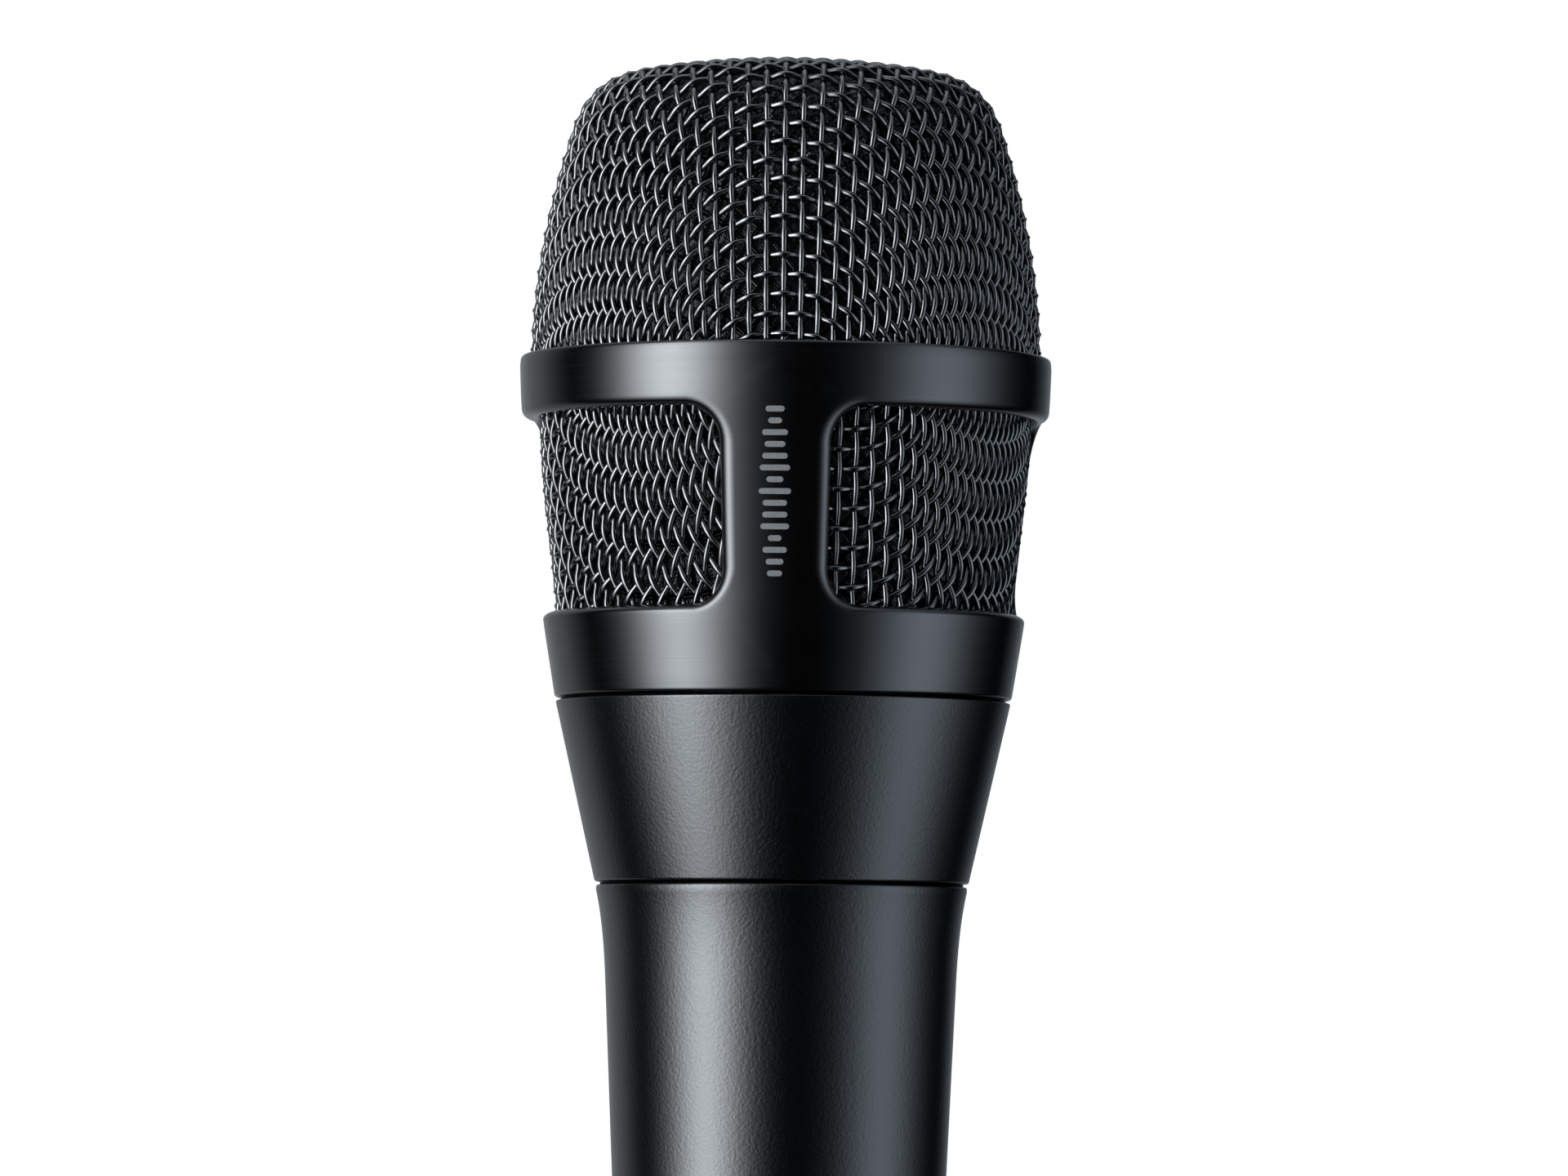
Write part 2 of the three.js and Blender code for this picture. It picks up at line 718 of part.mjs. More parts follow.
function addHandle() {
  add("handle_shell", handleShell(), finishes.satinBlack);
  add("xlr_insert", xlrInsert(), finishes.blackPlastic);
  pinPlaces.forEach((place, i) => add(`xlr_pin_${i + 1}`, xlrPin(place), finishes.nickel));
  add("insert_screw", insertScrew(), finishes.steel);
  add("ground_spring", groundSpring(), finishes.brass);
  add("output_board", outputPcb(), finishes.board);
  add("transformer_core", transformerCore(), finishes.steel);
  add("transformer_winding", transformerWinding(), finishes.copper);
  const cradleSleeve = tubePiece(cradle.outer, cradle.inner, cradle.bottom, cradle.top);
  add("transformer_cradle", cradleSleeve, finishes.rubber);
  add("lower_lead_hot", lowerLead(1), finishes.redSleeve);
  add("lower_lead_cold", lowerLead(-1), finishes.blackSleeve);
  add("upper_lead_hot", upperLead(1), finishes.redSleeve);
  add("upper_lead_cold", upperLead(-1), finishes.blackSleeve);
  add("contact_board", discPiece(contactBoard.radius, contactBoard.bottom, contactBoard.top), finishes.board);
  for (let i = 0; i < 3; i += 1) {
    add(`spring_contact_${i + 1}`, springContactPin(i), finishes.gold);
  }
}

function addNeck() {
  const sealCircle = (neck.lowerSpigot.r + handleThread.sealRadius) / 2;
  add("neck_seal", sealRing(sealCircle, seals.neckSection, seals.neckZ), finishes.rubber);
  add("neck_shell", neckShell(), finishes.satinBlack);
  add("head_board", headPcb(), finishes.board);
  add("lower_rubber_ring", rubberRing(neck.ledge + GAP, mount.flangeBottom - GAP), finishes.rubber);
  add("upper_rubber_ring", rubberRing(mount.flangeTop + GAP, mount.capBottom - GAP), finishes.rubber);
  add("mount_cap", mountCap(), finishes.brass);
  add("head_lead_hot", headLead(1), finishes.redSleeve);
  add("head_lead_cold", headLead(-1), finishes.blackSleeve);
}

function addCartridge() {
  add("rear_tube", rearTube(), finishes.greyPlastic);
  add("terminal_board", terminalBoard(), finishes.board);
  add("cartridge_case", cartridgeCase(), finishes.blackPlastic);
  add("port_screen", portScreen(), finishes.darkGauze);
  add("yoke", yokeCup(), finishes.steel);
  add("magnet", discPiece(magnet.radius, magnet.bottom, magnet.top), finishes.nickel);
  add("pole_plate", discPiece(polePlate.radius, polePlate.bottom, polePlate.top), finishes.steel);
  add("resonator_cap", resonatorCap(), finishes.blackPlastic);
  add("cap_screen", discPiece(resonatorRadius, capScreen.bottom, capScreen.top), finishes.darkGauze);
  add("diaphragm", diaphragmFilm(), finishes.film);
  add("voice_coil", tubePiece(coil.outer, coil.inner, coil.bottom, coil.top, 0), finishes.copper);
}

function addGrille() {
  const topPoints = topNetCurve().getPoints(4);
  const lowerPoints = lowerNetCurve().getPoints(5);
  const foamPoints = topPoints.filter((point) => point.y > ring.top);
  const { inner, outer } = threadRing;
  add("grille_washer", tubePiece(outer, inner, washer.bottom, washer.top), finishes.steel);
  add("grille_seal", sealRing((inner + outer) / 2, seals.grilleSection, seals.grilleZ), finishes.rubber);
  add("thread_ring", tubePiece(outer, inner, threadRing.bottom, threadRing.top), finishes.brass);
  add("grille_cage", grilleCage(), finishes.satinBlack);
  add("top_net", skin(topPoints, 0, net.thickness, ROUND.shell), finishes.blackNickel);
  add("lower_net", skin(lowerPoints, 0, net.thickness, ROUND.shell), finishes.blackNickel);
  add("top_liner", skin(topPoints, liner.inset, liner.thickness), finishes.darkGauze);
  add("lower_liner", skin(lowerPoints, liner.inset, liner.thickness), finishes.darkGauze);
  add("foam_cap", skin(foamPoints, foam.inset, foam.thickness), finishes.openFoam);
}

addHandle();
addNeck();
addCartridge();
addGrille();

export default microphone;
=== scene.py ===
"""The looks of a handheld dynamic microphone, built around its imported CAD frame. Metres, +Z up."""

import json
import math
import random

import bpy
import numpy as np
from mathutils import Matrix, Vector


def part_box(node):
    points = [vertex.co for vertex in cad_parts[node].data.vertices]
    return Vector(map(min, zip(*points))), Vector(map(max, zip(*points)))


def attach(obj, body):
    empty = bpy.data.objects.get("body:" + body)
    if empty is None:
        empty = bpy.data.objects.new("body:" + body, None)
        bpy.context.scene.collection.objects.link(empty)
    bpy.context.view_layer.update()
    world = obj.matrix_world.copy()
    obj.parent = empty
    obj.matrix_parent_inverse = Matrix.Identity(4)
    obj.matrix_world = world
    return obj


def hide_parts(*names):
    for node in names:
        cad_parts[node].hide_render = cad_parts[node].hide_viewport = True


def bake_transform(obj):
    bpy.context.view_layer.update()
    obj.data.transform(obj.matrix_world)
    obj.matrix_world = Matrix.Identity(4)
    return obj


MM = 0.001
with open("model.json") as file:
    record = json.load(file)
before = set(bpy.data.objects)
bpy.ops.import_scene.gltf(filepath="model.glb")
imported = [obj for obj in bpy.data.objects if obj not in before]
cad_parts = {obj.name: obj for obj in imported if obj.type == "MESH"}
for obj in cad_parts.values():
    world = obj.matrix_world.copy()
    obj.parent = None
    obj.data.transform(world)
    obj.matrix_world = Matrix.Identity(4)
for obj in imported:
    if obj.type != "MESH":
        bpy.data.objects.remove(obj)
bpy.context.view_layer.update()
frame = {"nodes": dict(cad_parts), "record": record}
nodes = frame["nodes"]

# ---- sizes, in millimetres


def top_of(node):
    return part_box(node)[1].z / MM


def bottom_of(node):
    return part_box(node)[0].z / MM


def radius_of(node):
    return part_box(node)[1].x / MM


CROWN = top_of("top_net")
RING_TOP = top_of("grille_cage")
RING_RADIUS = radius_of("grille_cage")
RING_BOTTOM = 152.2
COLLAR_TOP = 133.6
COLLAR_BOTTOM = bottom_of("grille_cage")
NECK_TOP = COLLAR_BOTTOM - 0.3
NECK_BOTTOM = 108.0
NECK_RADII = (17.9, 21.8)  # at its lower and its upper end
NECK_BORES = (12.6, 16.4)  # below and above the ledge that holds the shock mount
NECK_LEDGE = 120.0
SPIGOT_RADII = (14.7, 18.2)
SPIGOT_ENDS = (99.2, 132.6)
BEVEL = 0.2
JOINT_STEP = 0.24  # height of the low steps that close the joint lines
STEP_INSET = 0.5
HANDLE_TOP = top_of("handle_shell")
HANDLE_FOOT_RADIUS = 12.5
TAPER_TOP = (16.8, 98.8)  # where the handle's straight taper turns into its flare
TAPER_RINGS = (10, 16, 20.2, 26, 50, 75)  # keep the faces short round the screw's hole
FLARE_RADIUS = 17.75
HANDLE_BORE = {"radius": 15.2, "bottom": 98.5, "top": 106.3}  # threaded for the neck's lower spigot
HANDLE_MOUTH = 16.1
SOCKET_RADIUS = 8.3
SOCKET_DEPTH = 15.5
PIN_RADIUS = 1.18
PIN_GROOVE_RADIUS = 1.02
PIN_CIRCLE = 4.0
PIN_PLACES = [(PIN_CIRCLE * math.cos(a), PIN_CIRCLE * math.sin(a)) for a in (0, math.pi, 1.5 * math.pi)]
NET_TOP_RIM = bottom_of("top_net")
NET_LOW_RIMS = (bottom_of("lower_net"), top_of("lower_net"))

WIRE = 0.6  # diameter of the net's wire
PITCH_ROUND = 1.71  # between the wires that run up the side
PITCH_UP = 1.95  # between the wires that run round, where pressing stretched the net
STRETCH = PITCH_UP / PITCH_ROUND
SHEAR_STIFFNESS = 0.015  # of the net's cells, against 1 for the wire's length
BEND_STIFFNESS = 0.15  # of the wire, on the same scale
SMALLEST_CELL = 0.3  # squared area below which a cell pushes no harder
SETTLING = {"passes": 1500, "momentum": 0.9, "step": 0.08, "longest": 0.06}  # how cloth is brought to rest
CRIMP_PULLED_OUT = 0.3  # share of their waves that the stretched wires have passed on to those they cross
PRESSED_FLAT = 0.72  # depth of the waves, against wires that only touch where they cross
WAVE_POWER = 0.9  # below 1, the crests of the waves are broader than a sine's
FEWEST_KNOTS = 3  # a shorter run of crossings makes no wire
FEWEST_POINTS = 4  # nor does a shorter run of its points
SPARE_CLOTH = 35.0  # how far the surface carries on beyond a net's rim while the cloth is pressed
PER_CELL = 5  # points of a wire from one crossing to the next
WIRE_SIDES = 6
TOP_NET = {"depth": WIRE * 0.5, "azimuth": math.radians(1.5)}  # depth below the outline, turn round the axis
LOWER_NET = {"depth": WIRE * 0.85, "azimuth": math.radians(15)}
GAUZE_DEPTH = 1.45
FOAM_DEPTHS = (1.95, 4.3)
FOAM_UNEVENNESS = 0.004
GAUZE_PER_CELL = 3  # faces of the gauze from one crossing of the net to the next
SHOULDER_HEIGHT = 178.0  # where the gauze crumpled as it was pushed round
SHOULDER_REACH = 6.0
STRUTS = 3
STRUT_HALF_ANGLE = math.radians(12.6)
WINDOW_CORNER = 3.4
THREAD = {"pitch": 1.0, "depth": 0.28, "rows": 10, "flank": 2.6, "root": 0.15}  # rows of points to each turn

# ---- outlines, as (radius, height) points


def unit(vectors):
    return vectors / np.maximum(np.linalg.norm(vectors, axis=-1, keepdims=True), 1e-9)


def quadratic(start, control, end, steps=24):
    t = np.linspace(0, 1, steps + 1)[:, None]
    a, b, c = (np.array(p, float) for p in (start, control, end))
    return (1 - t) ** 2 * a + 2 * t * (1 - t) * b + t**2 * c


def cubic(start, control_1, control_2, end, steps=24):
    t = np.linspace(0, 1, steps + 1)[:, None]
    a, b, c, d = (np.array(p, float) for p in (start, control_1, control_2, end))
    return (1 - t) ** 3 * a + 3 * t * (1 - t) ** 2 * b + 3 * t**2 * (1 - t) * c + t**3 * d


def chained(*parts):
    """The parts one after the other, with the shared end points kept once."""
    return np.concatenate([parts[0], *(part[1:] for part in parts[1:])])


def top_net_outline():
    """Crown, shoulder and side of the upper net, from the pole outwards.

    The wires' crests stand out of this surface, so its pole lies half a wire below the crown.
    """
    pole = CROWN - WIRE / 2
    shoulder, side, band = (14.9, 185.4), (20.4, 180.6), (24.3, 159.4)
    return chained(
        quadratic((0, pole), (7.8, pole), shoulder),
        cubic(shoulder, (17.8, 185.1), (19.67, 182.8), side),
        quadratic(side, (24.0, 169.7), band, 40),
        np.array([band, (24.2, NET_TOP_RIM)]),
    )


def lower_net_outline():
    """The lower net's side, from its narrow end up to the band."""
    bottom, top = NET_LOW_RIMS
    return cubic((21.85, bottom), (22.0, 139.0), (23.7, 144.5), (23.6, top), 60)


def inset(outline, depth):
    """An outline moved inwards by depth along its own normals."""
    along = unit(np.gradient(outline, axis=0))
    going_down = 1 if outline[-1, 1] < outline[0, 1] else -1
    inward = going_down * np.stack([along[:, 1], -along[:, 0]], axis=1)
    moved = outline + inward * depth
    moved[:, 0] = np.where(outline[:, 0] == 0, 0, moved[:, 0])
    return moved


def rounded(corners, steps=6):
    """An open outline through (radius, height) or (radius, height, fillet) corners, and how worn it is."""
    points = []
    worn = []
    for i, (r, z, *fillet) in enumerate(corners):
        here = np.array((r, z), float)
        if not fillet or i in (0, len(corners) - 1):
            points.append(here)
            worn.append(0.0)
            continue
        back = np.array(corners[i - 1][:2]) - here
        forth = np.array(corners[i + 1][:2]) - here
        reach = min(fillet[0], 0.49 * np.linalg.norm(back), 0.49 * np.linalg.norm(forth))
        start = here + back / np.linalg.norm(back) * reach
        end = here + forth / np.linalg.norm(forth) * reach
        for t in np.linspace(0, 1, steps + 1):
            points.append((1 - t) ** 2 * start + 2 * t * (1 - t) * here + t**2 * end)
            worn.append(math.sin(math.pi * t))
    return np.array(points), np.array(worn)


# ---- meshes


def mesh_object(name, vertices, faces, uv=None, worn=None):
    """A smooth-shaded object from millimetre vertices; uv and worn hold one entry for each vertex."""
    mesh = bpy.data.meshes.new(name)
    mesh.from_pydata((np.asarray(vertices) * MM).tolist(), [], np.asarray(faces).tolist())
    mesh.polygons.foreach_set("use_smooth", np.ones(len(mesh.polygons), bool))
    if uv is not None:
        corner_vertices = np.zeros(len(mesh.loops), int)
        mesh.loops.foreach_get("vertex_index", corner_vertices)
        layer = mesh.uv_layers.new(name="cloth")
        layer.data.foreach_set("uv", np.asarray(uv)[corner_vertices].ravel())
    if worn is not None:
        layer = mesh.attributes.new("worn", "FLOAT", "POINT")
        layer.data.foreach_set("value", np.asarray(worn, float))
    mesh.validate()
    mesh.update()
    made = bpy.data.objects.new(name, mesh)
    bpy.context.scene.collection.objects.link(made)
    return made


def grid_faces(rows, columns, wrap):
    """Quads of a grid whose vertices are stored row by row; wrap joins the last column to the first."""
    row, column = np.meshgrid(np.arange(rows - 1), np.arange(columns if wrap else columns - 1), indexing="ij")
    here = row * columns + column
    right = row * columns + (column + 1) % columns
    return np.stack([here, right, right + columns, here + columns], axis=-1).reshape(-1, 4)


def merged(pieces):
    """The vertices and faces of several pieces, whose faces count from their own first vertex."""
    firsts = np.cumsum([0] + [len(vertices) for vertices, _ in pieces])
    faces = [quads + first for (_, quads), first in zip(pieces, firsts)]
    return np.concatenate([vertices for vertices, _ in pieces]), np.concatenate(faces)


def polar(r, angle, z):
    return np.stack([r * np.cos(angle), r * np.sin(angle), z + 0 * angle], axis=-1)


def revolve(name, outline, worn=None, facets=160):
    """A surface of revolution; the outline runs so that the outside lies on its right."""
    angles = np.linspace(0, 2 * math.pi, facets, endpoint=False)
    grid = polar(outline[:, :1], angles, outline[:, 1:])
    marks = None if worn is None else np.repeat(worn, facets)
    return mesh_object(name, grid.reshape(-1, 3), grid_faces(len(outline), facets, wrap=True), worn=marks)


def turned(name, corners, facets=160):
    return revolve(name, *rounded(corners), facets)


def threaded(name, radius, bottom, top, facets=96):
    """A spigot with a right-hand helical thread that fades out at both ends."""
    rows = int((top - bottom) / THREAD["pitch"] * THREAD["rows"]) + 1
    angles = np.linspace(0, 2 * math.pi, facets, endpoint=False)
    z = np.linspace(bottom, top, rows)[:, None]
    phase = (z / THREAD["pitch"] - angles / (2 * math.pi)) % 1.0
    crest = np.clip(np.abs(phase - 0.5) * THREAD["flank"] - THREAD["root"], 0, 1)
    fade = np.clip(np.minimum(z - bottom, top - z) / THREAD["pitch"], 0, 1)
    grid = polar(radius - THREAD["depth"] * (1 - crest) * fade, angles, z)
    return mesh_object(name, grid.reshape(-1, 3), grid_faces(rows, facets, wrap=True))


def joined(name, *objects):
    """One object from several, under a new name."""
    bpy.ops.object.select_all(action="DESELECT")
    for item in objects:
        item.select_set(True)
    bpy.context.view_layer.objects.active = objects[0]
    bpy.ops.object.join()
    objects[0].name = name
    return objects[0]


def ring_of(name, circle, section, z, facets=120, sides=16):
    """A round rubber ring."""
    turn = np.linspace(0, 2 * math.pi, sides, endpoint=False)[::-1]
    outline = np.stack([circle + section * np.cos(turn), z + section * np.sin(turn)], axis=1)
    return revolve(name, np.concatenate([outline, outline[:1]]), facets=facets)


# ---- woven nets


class Dome:
    """A surface of revolution that cloth is pressed over. A place on it is a distance from its pole and an
    azimuth.

    The cloth was stretched along the axis by the pressing, so distances are measured with heights squeezed by
    that stretch: there the cloth's threads have their length from before pressing.
    """

    def __init__(self, outline, stretch):
        self.outline = outline
        self.squeezed = outline / np.array([1.0, stretch])
        steps = np.linalg.norm(np.diff(self.squeezed, axis=0), axis=1)
        self.distance = np.concatenate([[0.0], np.cumsum(steps)])
        self.slope = np.gradient(self.squeezed, self.distance, axis=0)
        real_slope = unit(np.gradient(outline, self.distance, axis=0))
        facing = 1 if outline[-1, 1] < outline[0, 1] else -1
        self.outward = facing * np.stack([-real_slope[:, 1], real_slope[:, 0]], axis=1)

    def along(self, table, distance):
        return np.stack([np.interp(distance, self.distance, table[:, k]) for k in (0, 1)], axis=-1)

    def placed(self, table, distance, azimuth):
        """The (radius, height) pairs of a table, looked up and turned to their azimuths."""
        rz = self.along(table, distance)
        return polar(rz[..., 0], azimuth, rz[..., 1])


def with_mirror(points):
    """A quarter cloth with one more row and column, mirrored across the straight threads at its two edges."""
    wider = np.concatenate([points[1:2] * np.array([-1, 1, 1]), points], axis=0)
    return np.concatenate([wider[:, 1:2] * np.array([1, -1, 1]), wider], axis=1)


def balance(points, solid, pull, axis):
    """Adds the pulls of the threads of one direction: they keep their length and stay nearly straight."""
    points, solid, pull = (np.moveaxis(field, axis, 0) for field in (points, solid, pull))
    step = points[1:] - points[:-1]
    length = np.linalg.norm(step, axis=-1, keepdims=True)
    tension = (length - PITCH_ROUND) * step / length * (solid[1:] & solid[:-1])[..., None]
    pull[:-1] += tension
    pull[1:] -= tension
    bend = (points[2:] + points[:-2] - 2 * points[1:-1]) * (solid[2:] & solid[:-2] & solid[1:-1])[..., None]
    pull[1:-1] += 2 * BEND_STIFFNESS * bend
    pull[2:] -= BEND_STIFFNESS * bend
    pull[:-2] -= BEND_STIFFNESS * bend


def resist_shear(points, solid, pull):
    """Adds the push of every cell against shear, which grows without limit as its threads close up."""
    for corner, along, across in (
        (np.s_[:-1, :-1], np.s_[1:, :-1], np.s_[:-1, 1:]),
        (np.s_[1:, 1:], np.s_[:-1, 1:], np.s_[1:, :-1]),
    ):
        whole = (solid[corner] & solid[along] & solid[across])[..., None]
        a, b = points[along] - points[corner], points[across] - points[corner]
        dot = (a * b).sum(-1, keepdims=True)
        aa, bb = (a * a).sum(-1, keepdims=True), (b * b).sum(-1, keepdims=True)
        area = np.maximum(aa * bb - dot**2, SMALLEST_CELL)
        on_a = -SHEAR_STIFFNESS * (dot * b / area - dot**2 * (bb * a - dot * b) / area**2) * whole
        on_b = -SHEAR_STIFFNESS * (dot * a / area - dot**2 * (aa * b - dot * a) / area**2) * whole
        pull[along] += on_a
        pull[across] += on_b
        pull[corner] -= on_a + on_b


def press_cloth(dome, count):
    """One quarter of a round cloth pressed over a dome: distance and azimuth of each knot, and which exist.

    The knots slide over the dome until the threads' tension and stiffness and the cells' resistance to shear
    balance. The threads crowd where the cells shear most, half-way between the two thread directions.
    """
    i, j = np.meshgrid(np.arange(count), np.arange(count), indexing="ij")
    there = np.hypot(i, j) < count
    distance = PITCH_ROUND * np.hypot(i, j)
    azimuth = np.arctan2(j, i)
    solid = np.pad(there, ((1, 0), (1, 0)), mode="reflect")
    drift = np.zeros((count, count, 2))
    longest = SETTLING["longest"]
    for _ in range(SETTLING["passes"]):
        here = dome.placed(dome.squeezed, distance, azimuth)
        wide = with_mirror(here)
        pull = np.zeros_like(wide)
        balance(wide, solid, pull, 0)
        balance(wide, solid, pull, 1)
        resist_shear(wide, solid, pull)
        pull = pull[1:, 1:]
        slope = dome.along(dome.slope, distance)
        outwards = pull[..., 0] * np.cos(azimuth) + pull[..., 1] * np.sin(azimuth)
        down = outwards * slope[..., 0] + pull[..., 2] * slope[..., 1]
        around = pull[..., 1] * np.cos(azimuth) - pull[..., 0] * np.sin(azimuth)
        slide = SETTLING["step"] * np.stack([down, around], axis=-1)
        drift = np.clip(SETTLING["momentum"] * drift + slide, -longest, longest)
        distance = np.clip(distance + drift[..., 0], 0, dome.distance[-1])
        azimuth = azimuth + drift[..., 1] / np.maximum(np.hypot(here[..., 0], here[..., 1]), PITCH_ROUND)
        distance[0, 0] = 0
        azimuth = np.clip(azimuth, 0, math.pi / 2)
        azimuth[1:, 0] = 0
        azimuth[0, 1:] = math.pi / 2
    return distance, azimuth, there


class Cloth:
    """A whole pressed cloth: knots on a square grid, with outward normals, and where there is one."""

    def __init__(self, points, normals, there):
        self.points, self.normals, self.there = points, normals, there

    @classmethod
    def over(cls, dome, distance, azimuth, there):
        """Four mirrored quarters pressed over a dome."""
        flips = np.array([-1, 1, 1]), np.array([1, -1, 1])
        quarters = [dome.placed(table, distance, azimuth) for table in (dome.outline, dome.outward)]
        return cls(*(cls.mirrored(quarter, *flips) for quarter in quarters), cls.mirrored(there, 1, 1))

    @staticmethod
    def mirrored(quarter, flip_rows, flip_columns):
        half = np.concatenate([(quarter * flip_rows)[:0:-1], quarter], axis=0)
        return np.concatenate([(half * flip_columns)[:, :0:-1], half], axis=1).astype(quarter.dtype)

    def turned_over(self):
        """The same cloth with its two thread directions exchanged."""
        return Cloth(self.points.transpose(1, 0, 2), self.normals.transpose(1, 0, 2), self.there.T)


def spun(points, azimuth):
    c, s = math.cos(azimuth), math.sin(azimuth)
    turn = np.array([[c, s, 0], [-s, c, 0], [0, 0, 1]])
    return points @ turn


def smooth_between(knots, per_cell):
    """A smooth curve through knots, with per_cell steps between neighbours (Catmull and Rom's spline)."""
    padded = np.concatenate([2 * knots[:1] - knots[1:2], knots, 2 * knots[-1:] - knots[-2:-1]])
    t = np.linspace(0, 1, per_cell, endpoint=False)[None, :, None]
    a, b, c, d = (padded[k : len(padded) - 3 + k][:, None] for k in range(4))
    curve = 0.5 * (2 * b + (c - a) * t + (2 * a - 5 * b + 4 * c - d) * t**2 + (3 * b - a - 3 * c + d) * t**3)
    return np.concatenate([curve.reshape(-1, knots.shape[1]), knots[-1:]])


def kept_runs(mask):
    """Start and end of each stretch of True values."""
    edges = np.flatnonzero(np.diff(np.concatenate([[0], mask.astype(int), [0]])))
    return zip(edges[::2], edges[1::2])


def sweep(centres, normals, radius, sides):
    """Vertices of a round wire along a centre line."""
    along = unit(np.gradient(centres, axis=0))
    side = unit(np.cross(along, normals))
    out = np.cross(side, along)
    turn = np.linspace(0, 2 * math.pi, sides, endpoint=False)
    around = out[:, None] * np.cos(turn)[:, None] + side[:, None] * np.sin(turn)[:, None]
    return (centres[:, None] + radius * around).reshape(-1, 3)


def weave(name, cloth, span, under_first, azimuth):
    """The wires of one direction of a cloth, each rising over and diving under those that cross it."""
    along = unit(np.gradient(cloth.points, axis=1))
    across = unit(np.gradient(cloth.points, axis=0))
    steepness = np.abs(along[..., 2]) - np.abs(across[..., 2])
    swing = PRESSED_FLAT * WIRE / 2 * (1 - CRIMP_PULLED_OUT * steepness)
    i, j = np.indices(swing.shape)
    swing *= np.where((i + j + under_first) % 2 == 0, 1, -1)
    wires = []
    for row in range(len(swing)):
        for first, last in kept_runs(cloth.there[row]):
            if last - first < FEWEST_KNOTS:
                continue
            line = smooth_between(cloth.points[row, first:last], PER_CELL)
            normals = unit(smooth_between(cloth.normals[row, first:last], PER_CELL))
            phase = np.arange(len(line)) / PER_CELL
            lift = np.interp(phase, np.arange(last - first), np.abs(swing[row, first:last]))
            wave = np.cos(math.pi * phase) * np.sign(swing[row, first])
            line += normals * (lift * np.sign(wave) * np.abs(wave) ** WAVE_POWER)[:, None]
            for start, end in kept_runs((line[:, 2] >= span[0]) & (line[:, 2] <= span[1])):
                if end - start >= FEWEST_POINTS:
                    skin = sweep(line[start:end], normals[start:end], WIRE / 2, WIRE_SIDES)
                    wires.append((skin, grid_faces(end - start, WIRE_SIDES, wrap=True)))
    vertices, faces = merged(wires)
    return mesh_object(name, spun(vertices, azimuth), faces)


def gauze_skin(name, outline, knots, span, azimuth):
    """A fine gauze pressed behind a net in the same pull: a smooth skin whose uv follow its threads."""
    dome = Dome(inset(outline, GAUZE_DEPTH), STRETCH)
    distance, turned_to, there = knots
    reach = dome.distance[-1] / distance.max()
    cloth = Cloth.over(dome, distance * reach, turned_to, there)
    rows = np.stack([smooth_between(row, GAUZE_PER_CELL) for row in cloth.points])
    points = np.stack([smooth_between(column, GAUZE_PER_CELL) for column in rows.transpose(1, 0, 2)])
    fine = len(points)
    column, row = np.meshgrid(np.arange(fine), np.arange(fine))
    uv = np.stack([column, row], axis=-1).reshape(-1, 2) * PITCH_ROUND / GAUZE_PER_CELL
    cell = np.arange(fine) // GAUZE_PER_CELL
    flat = points.reshape(-1, 3)
    good = (flat[:, 2] >= span[0]) & (flat[:, 2] <= span[1]) & cloth.there[np.ix_(cell, cell)].ravel()
    faces = grid_faces(fine, fine, wrap=False)
    faces = faces[good[faces].all(axis=1)]
    used, renumbered = np.unique(faces, return_inverse=True)
    return mesh_object(name, spun(flat[used], azimuth), renumbered.reshape(-1, 4), uv=uv[used])


def net_and_gauze(name, outline, span, depth, azimuth):
    """Both directions of wire of a pressed net lying at a depth, and the fine gauze behind it."""
    dome = Dome(inset(outline, depth), STRETCH)
    within_rim = int((dome.distance[-1] - SPARE_CLOTH / STRETCH) / PITCH_ROUND)
    knots = press_cloth(dome, within_rim + 3)
    cloth = Cloth.over(dome, *knots)
    warp = weave(f"{name}_warp", cloth, span, 0, azimuth)
    weft = weave(f"{name}_weft", cloth.turned_over(), span, 1, azimuth)
    return warp, weft, gauze_skin(f"{name}_gauze", outline, knots, span, azimuth)


def spare(rim, way):
    """Where the cloth carries on beyond a net's rim, upwards or downwards."""
    return np.linspace(rim, rim + way * np.array([0, SPARE_CLOTH]), 20)


def top_dome_outline():
    """The upper net's outline, carried on below its rim so that the cloth has somewhere to end."""
    net = top_net_outline()
    return chained(net, spare(net[-1], -1))


def lower_dome_outline():
    """The lower net was pressed as a cup; its floor was cut away, and only the wall is left."""
    wall = lower_net_outline()
    floor = wall[0, 1] - 4.5
    edge = (15.5, floor)
    turn = cubic(edge, (19.0, floor), (21.8, floor + 1.2), wall[0])
    return chained(np.linspace((0, floor), edge, 30), turn, wall, spare(wall[-1], 1))


def build_nets():
    margin = WIRE / 2
    top_span = (NET_TOP_RIM + margin, CROWN + 1)
    low_span = (NET_LOW_RIMS[0] + margin, NET_LOW_RIMS[1] - margin)
    return (
        net_and_gauze("top_net", top_dome_outline(), top_span, **TOP_NET),
        net_and_gauze("lower_net", lower_dome_outline(), low_span, **LOWER_NET),
    )


# ---- the cage

CAGE_ARC_RADIUS = 24.0  # where distances round the cage are measured
SECTOR = math.pi / STRUTS * CAGE_ARC_RADIUS  # from a window's middle to a strut's middle
WINDOW_HALF_WIDTH = SECTOR - STRUT_HALF_ANGLE * CAGE_ARC_RADIUS
EDGE_ROUND = {"side": 1.45, "top": 0.95, "bottom": 0.6}  # how wide the rounding at a window's edge is
EDGE_DEPTH = 1.0
WALL_DEPTH = 1.3
RIM_HEIGHT = 1.8  # of the rounded rims at the cage's two ends
RIM_RUN = 1.2  # extra run for each radian that the outline turns, so that rims get faces of their own
LOOP_POINTS = {"side": 7, "corner": 13, "cap": 34}  # on each quarter of a window's edge
ROUNDING_ROWS = 9
SHEET_ROWS = 25
FRONT = -math.pi / 2


